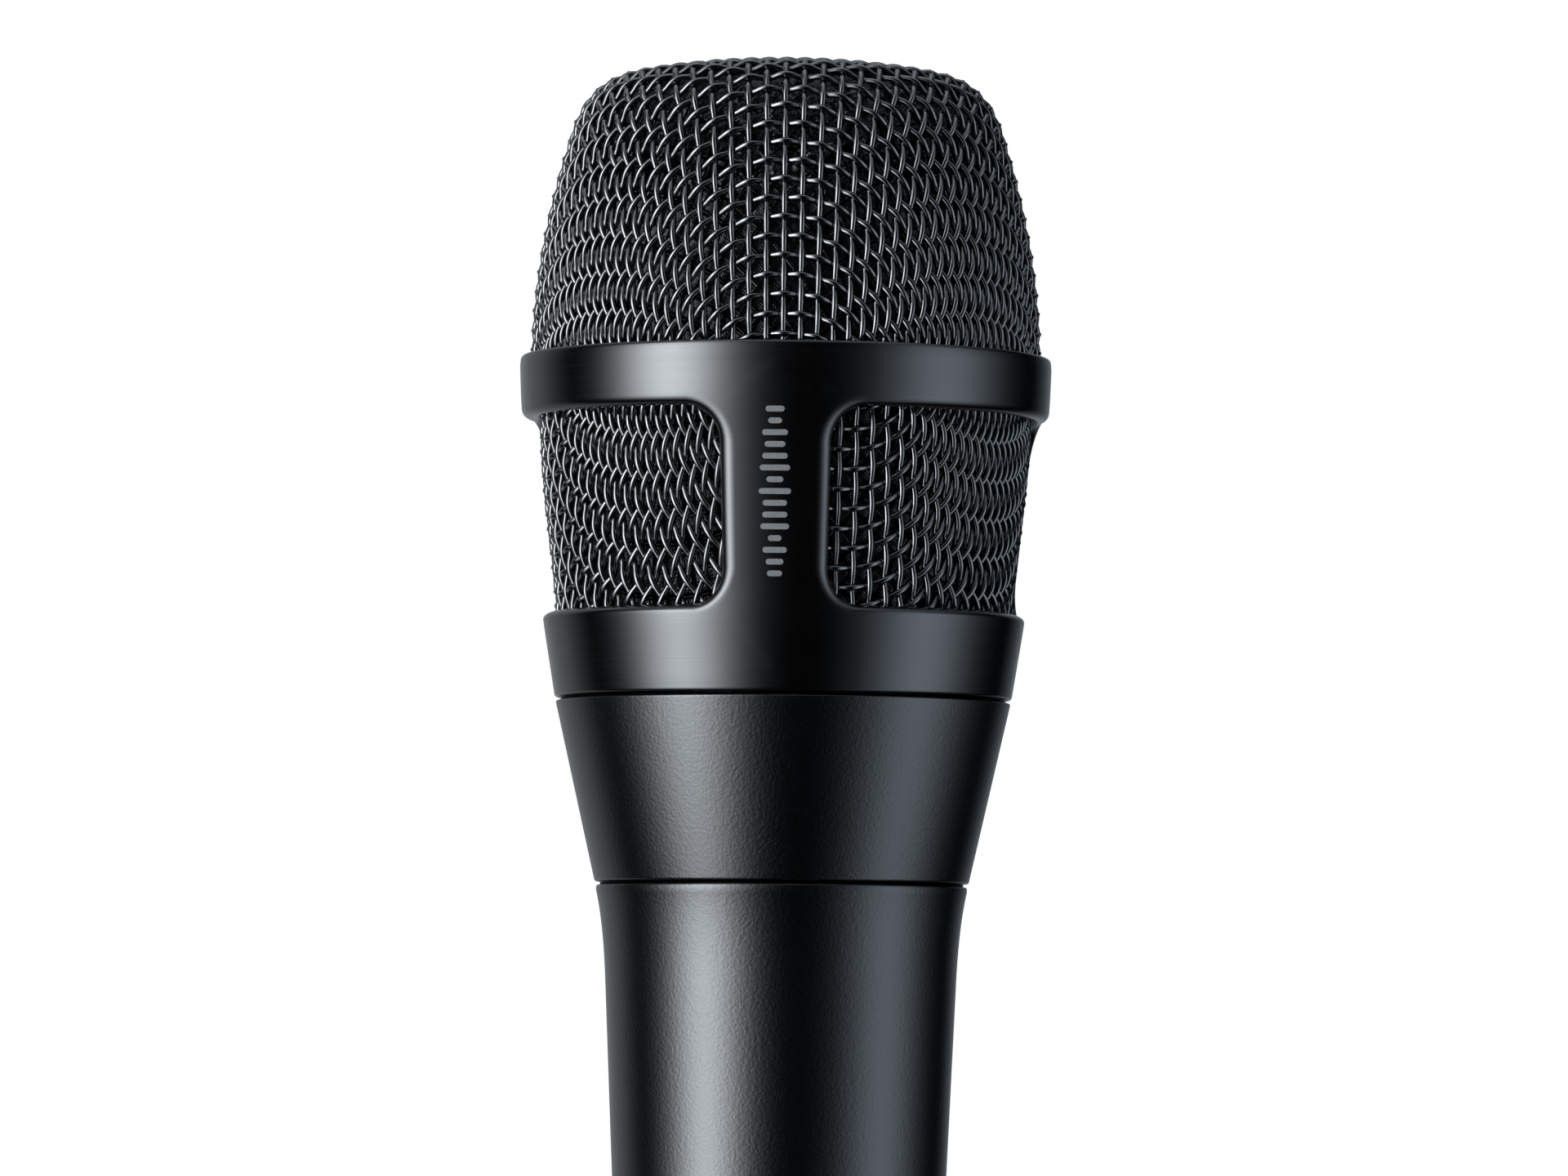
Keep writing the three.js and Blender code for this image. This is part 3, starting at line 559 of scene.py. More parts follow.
def cage_outline():
    """Outside of the cage from the collar's inner edge up to the ring's inner edge."""
    corners = [
        (20.6, COLLAR_BOTTOM + 6),
        (20.6, COLLAR_BOTTOM, 0.2),
        (21.87, COLLAR_BOTTOM, 0.35),
        (23.07, COLLAR_TOP - 0.6, 1.5),
        (25.35, RING_BOTTOM + 1.3, 1.5),
        (RING_RADIUS, RING_TOP - 0.9, 0.4),
        (RING_RADIUS - 0.1, RING_TOP, 0.7),
        (24.6, RING_TOP, 0.25),
        (24.6, RING_TOP - 2.2),
    ]
    return rounded(corners, 8)


class CageSkin:
    """The cage's outside, addressed by distance round it and by a height that runs over its rims too."""

    def __init__(self):
        self.points, self.worn = cage_outline()
        along = np.diff(self.points, axis=0)
        length = np.linalg.norm(along, axis=1)
        heading = np.unwrap(np.arctan2(along[:, 1], along[:, 0]))
        turn = np.concatenate([[0], np.abs(np.diff(heading))])
        self.run = np.concatenate([[0], np.cumsum(length + RIM_RUN * turn)])
        along = unit(np.gradient(self.points, axis=0))
        self.outward = np.stack([along[:, 1], -along[:, 0]], axis=1)
        lowest = np.argmax(self.points[:, 0] > 21)
        highest = np.argmax(self.points[:, 1] > RING_TOP - 1)
        self.side_run = self.run[lowest:highest]
        self.side_height = self.points[lowest:highest, 1]
        self.sheet_runs = (self.run_at(COLLAR_BOTTOM + RIM_HEIGHT), self.run_at(RING_TOP - RIM_HEIGHT))

    def run_at(self, height):
        return np.interp(height, self.side_height, self.side_run)

    def place(self, arc, run, depth, centre):
        r, z = (
            np.interp(run, self.run, self.points[:, k]) - depth * np.interp(run, self.run, self.outward[:, k])
            for k in (0, 1)
        )
        return polar(r, arc / CAGE_ARC_RADIUS + centre, z)


def window_loop(skin):
    """Points round one window: where the edge is, which way is out of it, how wide its rounding is, and
    the point of the sector's border that the loop opens out to."""
    middle = (RING_BOTTOM + COLLAR_TOP) / 2
    corner_x = WINDOW_HALF_WIDTH - WINDOW_CORNER
    corner_y = (RING_BOTTOM - COLLAR_TOP) / 2 - WINDOW_CORNER
    side = np.linspace(0, corner_y, LOOP_POINTS["side"])
    turn = np.linspace(0, math.pi / 2, LOOP_POINTS["corner"])[1:-1]
    cap = np.linspace(corner_x, 0, LOOP_POINTS["cap"])
    angle = np.concatenate([0 * side, turn, 0 * cap + math.pi / 2])
    base_x = np.concatenate([0 * side + corner_x, 0 * turn + corner_x, cap])
    base_y = np.concatenate([side, 0 * turn + corner_y, 0 * cap + corner_y])
    out_x, out_y = np.cos(angle), np.sin(angle)
    x, y = base_x + WINDOW_CORNER * out_x, base_y + WINDOW_CORNER * out_y
    share = angle / (math.pi / 4)  # 1 where the loop opens out to the corner of the sector
    border_x = SECTOR - np.clip(share - 1, 0, 1) * (SECTOR - base_x)
    quarters = []
    for right, up in ((1, 1), (-1, 1), (-1, -1), (1, -1)):
        run_end = skin.sheet_runs[max(up, 0)]
        end_round = EDGE_ROUND["top" if up > 0 else "bottom"]
        width = (EDGE_ROUND["side"] * out_x + end_round * out_y) / (out_x + out_y)
        beside = skin.run_at(middle + up * base_y)
        border_run = np.where(share < 1, beside + share * (run_end - beside), run_end)
        columns = (right * x, middle + up * y, right * out_x, up * out_y, width, right * border_x, border_run)
        quarters.append(np.stack(columns, axis=1)[:: right * up][:-1])
    return np.concatenate(quarters)


def cage_sector(skin, centre):
    """One window with the metal round it, out to the middle of each strut, and the rims above and below."""
    x, z, nx, nz, width, border_x, border_run = window_loop(skin).T
    rows = []
    worn = []
    for depth in (EDGE_DEPTH + WALL_DEPTH, EDGE_DEPTH):
        rows.append(skin.place(x, skin.run_at(z), depth, centre))
        worn.append(0 * x)
    for angle in np.linspace(0, math.pi / 2, ROUNDING_ROWS)[1:]:
        reach = width * (1 - math.cos(angle))
        depth = EDGE_DEPTH * (1 - math.sin(angle))
        rows.append(skin.place(x + nx * reach, skin.run_at(z + nz * reach), depth, centre))
        worn.append(0 * x + math.sin(2 * angle))
    start_x, start_run = x + nx * width, skin.run_at(z + nz * width)
    for share in np.linspace(0, 1, SHEET_ROWS)[1:]:
        run = start_run + share * (border_run - start_run)
        rows.append(skin.place(start_x + share * (border_x - start_x), run, 0, centre))
        worn.append(np.interp(run, skin.run, skin.worn))
    pieces = [(np.concatenate(rows), grid_faces(len(rows), len(x), wrap=True)[:, ::-1], np.concatenate(worn))]
    for limit in skin.sheet_runs:
        arcs = np.unique(np.round(border_x[border_run == limit], 6))
        arcs = np.concatenate([[-SECTOR], arcs[np.abs(arcs) < SECTOR - 0.01], [SECTOR]])
        beyond = skin.run[skin.run > limit] if limit == skin.sheet_runs[1] else skin.run[skin.run < limit]
        runs = np.unique(np.append(beyond, limit))
        rim = [skin.place(arcs, run, 0, centre) for run in runs]
        marks = np.repeat(np.interp(runs, skin.run, skin.worn), len(arcs))
        pieces.append((np.concatenate(rim), grid_faces(len(runs), len(arcs), wrap=False), marks))
    return pieces


def build_cage(skin):
    centres = [math.pi / 2 + i * 2 * math.pi / STRUTS for i in range(STRUTS)]
    pieces = [piece for centre in centres for piece in cage_sector(skin, centre)]
    vertices, faces = merged([(points, quads) for points, quads, _ in pieces])
    cage = mesh_object("cage", vertices, faces, worn=np.concatenate([marks for _, _, marks in pieces]))
    weld = cage.modifiers.new("weld", "WELD")
    weld.merge_threshold = 0.01 * MM
    apply_modifiers(cage)
    return cage


def apply_modifiers(item):
    bpy.context.view_layer.objects.active = item
    for modifier in list(item.modifiers):
        bpy.ops.object.modifier_apply(modifier=modifier.name)


BARS = {"count": 15, "half_thick": 0.27, "half_length": 1.25, "points": 25, "proud": 0.015}


def strut_mark(skin):
    """A printed sound-wave of rounded bars up the front strut, in place of any lettering."""
    low, high = COLLAR_TOP + 2.9, RING_BOTTOM - 0.4
    half_thick, count = BARS["half_thick"], BARS["count"]
    across = np.linspace(-1, 1, BARS["points"])
    bars = []
    for i in range(count):
        z = low + (high - low) * i / (count - 1)
        swell = 0.45 + 0.55 * math.sin(math.pi * (i + 0.5) / count)
        uneven = 0.35 + 0.65 * abs(math.sin(1.9 * i + 0.6))
        half_width = half_thick + BARS["half_length"] * swell * uneven
        x = np.sign(across) * half_width * (1 - (1 - np.abs(across)) ** 1.5)
        past = np.clip(np.abs(x) - (half_width - half_thick), 0, half_thick)
        tall = np.sqrt(half_thick**2 - past**2)
        edges = [skin.place(x, skin.run_at(z + sign * tall), -BARS["proud"], FRONT) for sign in (-1, 1)]
        bars.append((np.concatenate(edges), grid_faces(2, len(x), wrap=False)))
    return mesh_object("strut_mark", *merged(bars))


# ---- neck and handle


def build_neck():
    """The cone, a low step that closes the joint line at each of its ends, the two threads and the bore."""
    (low, high), (bottom, top), (narrow, wide) = SPIGOT_RADII, SPIGOT_ENDS, NECK_BORES
    step_bottom, step_top = NECK_BOTTOM - JOINT_STEP, NECK_TOP + JOINT_STEP
    low_step, high_step = NECK_RADII[0] - STEP_INSET, NECK_RADII[1] - STEP_INSET
    cone = turned("cone", [(low, step_bottom), (low_step, step_bottom), (low_step, NECK_BOTTOM),
                           (NECK_RADII[0], NECK_BOTTOM, 0.45), (NECK_RADII[1], NECK_TOP, 0.45),
                           (high_step, NECK_TOP), (high_step, step_top), (high, step_top)])
    low_thread = threaded("low_thread", low, bottom, step_bottom)
    high_thread = threaded("high_thread", high, step_top, top)
    bore = turned("bore", [(high, top), (high - BEVEL, top + BEVEL), (wide, top + BEVEL, BEVEL),
                           (wide, NECK_LEDGE), (narrow, NECK_LEDGE, BEVEL),
                           (narrow, bottom - BEVEL, BEVEL), (low - BEVEL, bottom - BEVEL), (low, bottom)])
    return joined("neck", cone, low_thread, high_thread, bore)


def build_handle():
    taper_radius, taper_height = TAPER_TOP
    slope = (taper_radius - HANDLE_FOOT_RADIUS) / taper_height
    taper = [(HANDLE_FOOT_RADIUS + slope * z, z) for z in TAPER_RINGS]
    flare = quadratic(TAPER_TOP, (17.03, 104), (FLARE_RADIUS, 107.2), 16)
    bore, seat = HANDLE_BORE["radius"], HANDLE_BORE["top"]
    corners = [
        (SOCKET_RADIUS, SOCKET_DEPTH),
        (SOCKET_RADIUS, 0, 0.6),
        (HANDLE_FOOT_RADIUS, 0, 1.0),
        *taper,
        *flare,
        (FLARE_RADIUS, HANDLE_TOP, 0.5),
        (HANDLE_MOUTH, HANDLE_TOP, BEVEL),
        (HANDLE_MOUTH, seat),
        (bore, seat),
    ]
    shell = turned("handle", corners, facets=192)
    lock = drilled(shell, radius=1.75, place=(0, HANDLE_FOOT_RADIUS, 18.1))
    thread = threaded("socket_thread", bore, HANDLE_BORE["bottom"], seat)
    return joined("handle", lock, thread)


def drilled(item, radius, place):
    """Cuts a hole that runs along Y through the item's wall."""
    bpy.ops.mesh.primitive_cylinder_add(vertices=48, radius=radius * MM, depth=8 * MM)
    drill = bpy.context.object
    drill.rotation_euler = (math.pi / 2, 0, 0)
    drill.location = Vector(place) * MM
    cut = item.modifiers.new("hole", "BOOLEAN")
    cut.operation = "DIFFERENCE"
    cut.object = drill
    apply_modifiers(item)
    bpy.data.objects.remove(drill)
    item.data.set_sharp_from_angle(angle=math.radians(40))
    return item


# ---- foot of the handle


def build_insert():
    """The socket's moulded floor, with a raised boss round each pin and a step inside its rim."""
    low, high = bottom_of("xlr_insert"), top_of("xlr_insert")
    disc = turned("disc", [(0, high), (9.3, high, 0.3), (9.3, low, 0.3), (7.6, low, 0.2),
                           (7.4, low + 0.4, 0.2), (0, low + 0.4)], facets=96)
    parts = [disc]
    for i, (x, y) in enumerate(PIN_PLACES):
        boss = turned(f"boss_{i}", [(1.45, low + 0.5), (2.2, low + 0.5, 0.2), (2.2, low + 0.05, 0.2),
                                    (1.5, low + 0.05, 0.1), (1.5, high)], facets=48)
        boss.data.transform(Matrix.Translation(Vector((x, y, 0)) * MM))
        parts.append(boss)
    return joined("socket_floor", *parts)


def build_pin(index):
    """A round-nosed contact with a groove where it enters the floor of the socket."""
    x, y = PIN_PLACES[index]
    wide, groove = PIN_RADIUS, PIN_GROOVE_RADIUS
    nose = [(wide * math.sin(a), 2.2 - math.cos(a)) for a in np.linspace(0, math.pi / 2, 8)]
    neck = [(wide, 15.2), (groove, 15.4), (groove, 15.7), (wide, 15.9)]
    pin = turned(f"contact_pin_{index + 1}", [*nose, *neck, (wide, 24.0, 0.2), (0, 24.2)], facets=40)
    pin.data.transform(Matrix.Translation(Vector((x, y, 0)) * MM))
    return pin


def build_foam(outline):
    """Foam pressed into the upper net: an outer and an inner skin, a little uneven, joined at the rim."""
    outside, inside = (inset(outline, depth) for depth in FOAM_DEPTHS)
    skins = [outside[outside[:, 1] > RING_TOP][::-1], inside[inside[:, 1] > RING_TOP]]
    foam = revolve("foam_lining", np.concatenate(skins), facets=220)
    rng = random.Random(7)
    for vertex in foam.data.vertices:
        vertex.co *= 1 + FOAM_UNEVENNESS * (rng.random() - 0.5)
    return foam


def rubber_bellows(name, node):
    """A shock-mount ring with a waist, which can flatten and stretch."""
    low, high = bottom_of(node), top_of(node)
    middle = (low + high) / 2
    return turned(name, [(11.6, middle), (11.6, low, 0.4), (15.6, low, 0.5), (15.0, middle, 0.8),
                         (15.6, high, 0.5), (11.6, high, 0.4), (11.6, middle)], facets=96)


HEAD_LEAD = {"radius": 0.5, "off_centre": 3, "bow_out": 1.9, "bow_back": 2.6}  # bowed, so that it can give


def bowed_lead(name, side, steps=25, sides=12):
    """A sleeved wire from the neck's contact board up to the terminal board of the cartridge."""
    rise = np.linspace(0, 1, steps)
    bow = np.sin(math.pi * rise)
    low, high = top_of("head_board"), bottom_of("terminal_board")
    x = side * (HEAD_LEAD["off_centre"] + HEAD_LEAD["bow_out"] * bow)
    centres = np.stack([x, HEAD_LEAD["bow_back"] * bow, low + (high - low) * rise], axis=-1)
    sideways = np.tile((1.0, 0.0, 0.0), (steps, 1))
    vertices = sweep(centres, sideways, HEAD_LEAD["radius"], sides)
    return mesh_object(name, vertices, grid_faces(steps, sides, wrap=True))


# ---- materials


class NodeTree:
    """Short spellings for building a node tree."""

    def __init__(self, tree):
        self.tree = tree

    def node(self, kind, **inputs):
        made = self.tree.nodes.new(kind)
        for socket, value in inputs.items():
            self.feed(made.inputs[socket.replace("_", " ")], value)
        return made

    def feed(self, socket, value):
        if isinstance(value, bpy.types.NodeSocket):
            self.tree.links.new(value, socket)
        else:
            socket.default_value = value

    def math(self, operation, a, b=0.0):
        made = self.tree.nodes.new("ShaderNodeMath")
        made.operation = operation
        self.feed(made.inputs[0], a)
        self.feed(made.inputs[1], b)
        return made.outputs[0]

    def times(self, a, b):
        return self.math("MULTIPLY", a, b)

    def ramp(self, value, low, high, first=0.0, last=1.0):
        """Runs from first to last as the value runs from low to high, and no further."""
        return self.node(
            "ShaderNodeMapRange", Value=value, From_Min=low, From_Max=high, To_Min=first, To_Max=last
        ).outputs[0]

    def hump(self, value, centre, width):
        """A smooth hump of height 1 round a centre."""
        off = self.math("DIVIDE", self.math("SUBTRACT", value, centre), width)
        return self.math("EXPONENT", self.times(self.times(off, off), -1.0))

    def split(self, vector):
        return self.node("ShaderNodeSeparateXYZ", Vector=vector).outputs

    def colour_between(self, share, first, second):
        made = self.tree.nodes.new("ShaderNodeMix")
        made.data_type = "RGBA"
        self.feed(made.inputs[0], share)
        self.feed(made.inputs[6], first if isinstance(first, bpy.types.NodeSocket) else (*first, 1.0))
        self.feed(made.inputs[7], second if isinstance(second, bpy.types.NodeSocket) else (*second, 1.0))
        return made.outputs[2]


class Shader(NodeTree):
    """A node material, built from the surface back."""

    def __init__(self, name, base, roughness, metallic=0.0, **sockets):
        self.material = bpy.data.materials.new(name)
        self.material.use_nodes = True
        super().__init__(self.material.node_tree)
        self.surface = self.tree.nodes["Principled BSDF"]
        self.base = base
        self.material.diffuse_color = (*base, 1.0)
        self.surface.inputs["Base Color"].default_value = (*base, 1.0)
        self.surface.inputs["Roughness"].default_value = roughness
        self.surface.inputs["Metallic"].default_value = metallic
        for socket, value in sockets.items():
            self.surface.inputs[socket.replace("_", " ")].default_value = value
        self.place = self.node("ShaderNodeTexCoord").outputs["Object"]
        self.bump_chain = None

    def noise(self, size, detail=2.0, squash=(1, 1, 1)):
        """Noise whose features measure about size millimetres, squashed along each axis."""
        scale = tuple(1 / (size * MM * k) for k in squash)
        moved = self.node("ShaderNodeMapping", Vector=self.place, Scale=scale)
        made = self.node("ShaderNodeTexNoise", Vector=moved.outputs[0], Scale=1.0, Detail=detail)
        return made.outputs["Fac"]

    def cells(self, size):
        """Distance from the middle of scattered cells about size millimetres apart."""
        return self.node("ShaderNodeTexVoronoi", Vector=self.place, Scale=1 / (size * MM)).outputs["Distance"]

    def mottled(self, field, first, last, low=0.3, high=0.7):
        """The base colour times first to times last, as a field goes from low to high."""
        first_tone, last_tone = shaded(self.base, first), shaded(self.base, last)
        return self.colour_between(self.ramp(field, low, high), first_tone, last_tone)

    def rubbed(self, tone, rub, share, bare):
        """The tone, with the bare colour showing by a share where edges are worn and rub is high."""
        bared = self.times(self.times(self.attribute("worn"), rub), share)
        return self.colour_between(bared, tone, bare)

    def wave(self, operation, across, pitch):
        """A sine or cosine of a distance, once for each pitch."""
        return self.math(operation, self.times(across, 2 * math.pi / pitch))

    def colour(self, socket):
        self.feed(self.surface.inputs["Base Color"], socket)

    def tint(self, field, first, second, low=0.3, high=0.7):
        """Colours the surface from first to second, as a field goes from low to high."""
        self.colour(self.colour_between(self.ramp(field, low, high), first, second))

    def rough(self, field, smooth, dull, low=0.3, high=0.7):
        """Roughness from smooth to dull, as a field goes from low to high."""
        self.feed(self.surface.inputs["Roughness"], self.ramp(field, low, high, smooth, dull))

    def bump(self, height, depth, strength=1.0):
        """Adds relief of the given depth in millimetres."""
        made = self.node("ShaderNodeBump", Height=height, Distance=depth * MM, Strength=strength)
        if self.bump_chain is not None:
            self.tree.links.new(self.bump_chain, made.inputs["Normal"])
        self.bump_chain = made.outputs[0]
        self.feed(self.surface.inputs["Normal"], self.bump_chain)

    def attribute(self, name):
        made = self.tree.nodes.new("ShaderNodeAttribute")
        made.attribute_name = name
        return made.outputs["Fac"]


def shaded(base, factor):
    return tuple(min(1.0, channel * factor) for channel in base)


def powder_coat():
    """Satin black powder coat of the neck and handle, rubbed a little paler on its edges."""
    shader = Shader("powder_coat", (0.0008, 0.0009, 0.0010), 0.25, Specular_IOR_Level=0.62)
    grain = shader.noise(0.2, 3)
    rub = shader.ramp(shader.noise(0.9, 4), 0.45, 0.75)
    shader.colour(shader.rubbed(shader.mottled(shader.noise(14), 0.85, 1.25), rub, 0.5, (0.02, 0.021, 0.022)))
    shader.rough(grain, 0.19, 0.27, 0.25, 0.75)
    shader.bump(grain, 0.01, 0.8)
    shader.bump(shader.noise(0.32), 0.025, 0.8)
    return shader.material


def cage_enamel():
    """Smooth satin black of the cage, with faint turning lines round it."""
    shader = Shader("cage_enamel", (0.0008, 0.0008, 0.0009), 0.2, Specular_IOR_Level=0.68)
    lines = shader.noise(1.0, 3, squash=(22, 22, 0.09))
    haze = shader.noise(6, 3)
    rub = shader.ramp(shader.noise(0.7, 4), 0.5, 0.8)
    shader.colour(shader.rubbed(shader.mottled(haze, 0.85, 1.3), rub, 0.12, (0.02, 0.02, 0.021)))
    hazy = shader.ramp(haze, 0, 1, -0.02, 0.02)
    hazy_lines = shader.math("ADD", shader.ramp(lines, 0.3, 0.7, 0.14, 0.21), hazy)
    shader.feed(shader.surface.inputs["Roughness"], hazy_lines)
    shader.bump(lines, 0.004, 0.8)
    return shader.material


def uneven(shader, patches, tones, fine, shine, relief):
    """A tone that varies over patches, and a fine field that varies the shine and stands out in relief."""
    shader.colour(shader.mottled(patches, *tones))
    shader.rough(fine, *shine)
    shader.bump(fine, *relief)
    return shader.material


def black_nickel():
    """Glossy black coat of the wire, a little uneven in tone and shine."""
    shader = Shader("black_nickel", (0.001, 0.001, 0.001), 0.08, IOR=2.0)
    return uneven(shader, shader.noise(2.4), (0.75, 1.25), shader.noise(0.15, 3), (0.05, 0.1), (0.0008, 0.5))


def gauze_weave(pitch=0.32, rib_pitch=2.4):
    """Fine black gauze, with threads and diagonal ribs that follow the pressed skin's cloth coordinates,
    crumpled where it was pushed round the shoulder."""
    shader = Shader("gauze_weave", (0.001, 0.001, 0.001), 0.2, Specular_IOR_Level=0.3)
    cloth = shader.tree.nodes.new("ShaderNodeUVMap")
    cloth.uv_map = "cloth"
    u, v, _ = shader.split(cloth.outputs[0])
    threads = shader.ramp(shader.times(*(shader.wave("SINE", across, pitch) for across in (u, v))), -1, 1)
    # painted shade: the gauze is coloured darker where the threads' relief dips and paler on its raised knots
    shader.colour(shader.colour_between(threads, (0.0001, 0.0001, 0.0001), (0.003, 0.003, 0.0032)))
    shader.rough(shader.noise(0.8), 0.14, 0.24)
    shader.bump(threads, 0.022)
    for sign in ("ADD", "SUBTRACT"):
        rib = shader.wave("COSINE", shader.math(sign, u, v), rib_pitch)
        shader.bump(shader.math("POWER", shader.ramp(rib, -1, 1), 14.0), 0.3)
    pushed_round = shader.hump(shader.split(shader.place)[2], SHOULDER_HEIGHT * MM, SHOULDER_REACH * MM)
    shader.bump(shader.times(shader.noise(1.9, 1), pushed_round), 4.0)
    return shader.material


def mark_ink():
    """Pale pad-printed ink, slightly thin in places."""
    shader = Shader("mark_ink", (0.17, 0.175, 0.18), 0.55)
    thin = shader.noise(0.25, 4)
    shader.colour(shader.mottled(thin, 1.0, 0.7, 0.35, 0.8))
    shader.rough(thin, 0.5, 0.62)
    return shader.material


def plain_metal(name, base, roughness, brushed=1.0):
    """Bare metal with turning lines and tarnish."""
    shader = Shader(name, base, roughness, 1.0)
    lines = shader.noise(0.6, 3, squash=(8, 8, 0.3))
    shine = (roughness * 0.8, roughness * 1.3)
    return uneven(shader, shader.noise(3, 4), (1.0, 0.72, 0.35, 0.75), lines, shine, (0.003 * brushed, 0.7))


def moulded(name, base, roughness, grain=0.25, depth=0.01, specular=0.5):
    """Moulded plastic or rubber, with a fine spark grain and flow marks."""
    shader = Shader(name, base, roughness, Specular_IOR_Level=specular)
    shine = (roughness - 0.06, roughness + 0.06)
    return uneven(shader, shader.noise(5), (0.85, 1.2), shader.noise(grain, 3), shine, (depth, 0.7))


def foam_cells():
    shader = Shader("foam_cells", (0.012, 0.012, 0.012), 0.95)
    cells = shader.cells(0.55)
    # painted shade: darkest in the middle of each cell, where the relief sinks into a pore, paler on the
    # walls between
    shader.tint(cells, (0.002, 0.002, 0.002), (0.03, 0.03, 0.03), 0.1, 0.6)
    shader.bump(cells, 0.25)
    return shader.material


def wound_copper():
    """Enamelled wire laid in rows round the axis, with painted shade in the grooves between the turns."""
    shader = Shader("wound_copper", (0.55, 0.22, 0.09), 0.3, 1.0)
    rows = shader.wave("SINE", shader.split(shader.place)[2], 0.22 * MM)
    # painted shade: darker in the grooves between the turns, where the same rows sink in relief
    shader.tint(rows, (0.13, 0.045, 0.02), shader.base, -1, 1)
    shader.rough(shader.noise(0.5, 3), 0.24, 0.4)
    shader.bump(rows, 0.05)
    return shader.material


def circuit_board():
    """Green solder mask over glass cloth, with pale tinned patches."""
    shader = Shader("circuit_board", (0.012, 0.09, 0.04), 0.35)
    weave = shader.noise(0.5, 2, squash=(1, 3, 1))
    spot = shader.ramp(shader.cells(3.2), 0.22, 0.18)
    shader.colour(shader.colour_between(spot, shader.mottled(weave, 1.0, 1.5), (0.6, 0.58, 0.52)))
    shader.rough(weave, 0.3, 0.42)
    shader.bump(spot, 0.03, 0.8)
    return shader.material


def backdrop_paper():
    shader = Shader("backdrop_paper", (0.88, 0.85, 0.83), 0.8)
    fibre = shader.noise(2.5, 4)
    shader.tint(fibre, (0.86, 0.83, 0.81), (0.9, 0.87, 0.85))
    shader.bump(fibre, 0.05, 0.3)
    return shader.material


MATERIALS = {
    "satin_black": powder_coat(),
    "cage_black": cage_enamel(),
    "black_nickel": black_nickel(),
    "dark_gauze": gauze_weave(),
    "plain_gauze": moulded("plain_gauze", (0.02, 0.02, 0.021), 0.6, grain=0.35, depth=0.05),
    "open_foam": foam_cells(),
    "steel": plain_metal("bright_steel", (0.56, 0.57, 0.58), 0.3),
    "brass": plain_metal("turned_brass", (0.66, 0.46, 0.17), 0.28),
    "contact_gold": plain_metal("contact_gold", (0.83, 0.6, 0.22), 0.2, brushed=0.5),
    "nickel": plain_metal("pin_nickel", (0.68, 0.68, 0.69), 0.18, brushed=0.5),
    "winding_copper": wound_copper(),
    "black_plastic": moulded("black_plastic", (0.014, 0.014, 0.015), 0.45),
    "grey_plastic": moulded("grey_plastic", (0.075, 0.08, 0.085), 0.48),
    "clear_film": moulded("diaphragm_film", (0.6, 0.56, 0.42), 0.22, grain=0.8, depth=0.004, specular=0.7),
    "circuit_board": circuit_board(),
    "black_rubber": moulded("black_rubber", (0.012, 0.012, 0.013), 0.72, 0.2, depth=0.015, specular=0.35),
    "red_sleeve": moulded("red_sleeve", (0.35, 0.02, 0.015), 0.42),
    "black_sleeve": moulded("black_sleeve", (0.012, 0.012, 0.013), 0.42),
    "mark_ink": mark_ink(),
}


def coat(item, material):
    item.data.materials.clear()
    item.data.materials.append(material)


# ---- the object


def show(item, body, slot, *stands_for, material=None):
    """Puts one finished piece on its body, in its slot's material or another, in place of CAD nodes."""
    coat(item, MATERIALS[material or slot])
    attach(item, body)
    if stands_for:
        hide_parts(*stands_for)
    return item


def show_bending(item, slot, node):
    """Gives one piece its slot's material in place of a CAD node, and bakes its placement into its mesh."""
    coat(item, MATERIALS[slot])
    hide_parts(node)
    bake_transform(item)


def build_grille():
    for tier, pieces in zip(("top", "lower"), build_nets()):
        warp, weft, gauze = pieces
        show(warp, "grille", "black_nickel", f"{tier}_net")
        show(weft, "grille", "black_nickel")
        show(gauze, "grille", "dark_gauze", f"{tier}_liner")
    skin = CageSkin()
    show(build_cage(skin), "grille", "cage_black", "grille_cage")
    show(strut_mark(skin), "grille", "cage_black", material="mark_ink")
    foam = show(build_foam(top_net_outline()), "grille", "open_foam", "foam_cap")
    show(ring_of("grille_ring", 19.4, 0.3, 126.6), "grille_seal", "black_rubber", "grille_seal")


def build_body():
    show(build_neck(), "head", "satin_black", "neck_shell")
    show(build_handle(), "handle", "satin_black", "handle_shell")
    show(ring_of("neck_ring", 15.4, 0.4, 107.0), "neck_seal", "black_rubber", "neck_seal")
    show(build_insert(), "handle", "black_plastic", "xlr_insert")
    for i in range(len(PIN_PLACES)):
        show(build_pin(i), "handle", "nickel", f"xlr_pin_{i + 1}")


def build_mounting():
    """The rubber rings and the two head leads between the neck and the floating cartridge."""
    lower, upper = "lower_rubber_ring", "upper_rubber_ring"
    ends = {lower: (bottom_of(lower), top_of(lower)), upper: (top_of(upper), bottom_of(upper))}
    for node, (start, end) in ends.items():
        show_bending(rubber_bellows(f"shock_{node}", node), "black_rubber", node)
    for side, pole, sleeve in ((1, "hot", "red_sleeve"), (-1, "cold", "black_sleeve")):
        lead = bowed_lead(f"bowed_lead_{pole}", side)
        show_bending(lead, sleeve, f"head_lead_{pole}")


def finish_cad_nodes():
    """Every CAD node that is still shown gets its slot's material."""
    for part in frame["record"]["subparts"]:
        slot = part["material_slot"]
        coat(nodes[part["node"]], MATERIALS["plain_gauze" if slot == "dark_gauze" else slot])


# ---- camera, light and floor


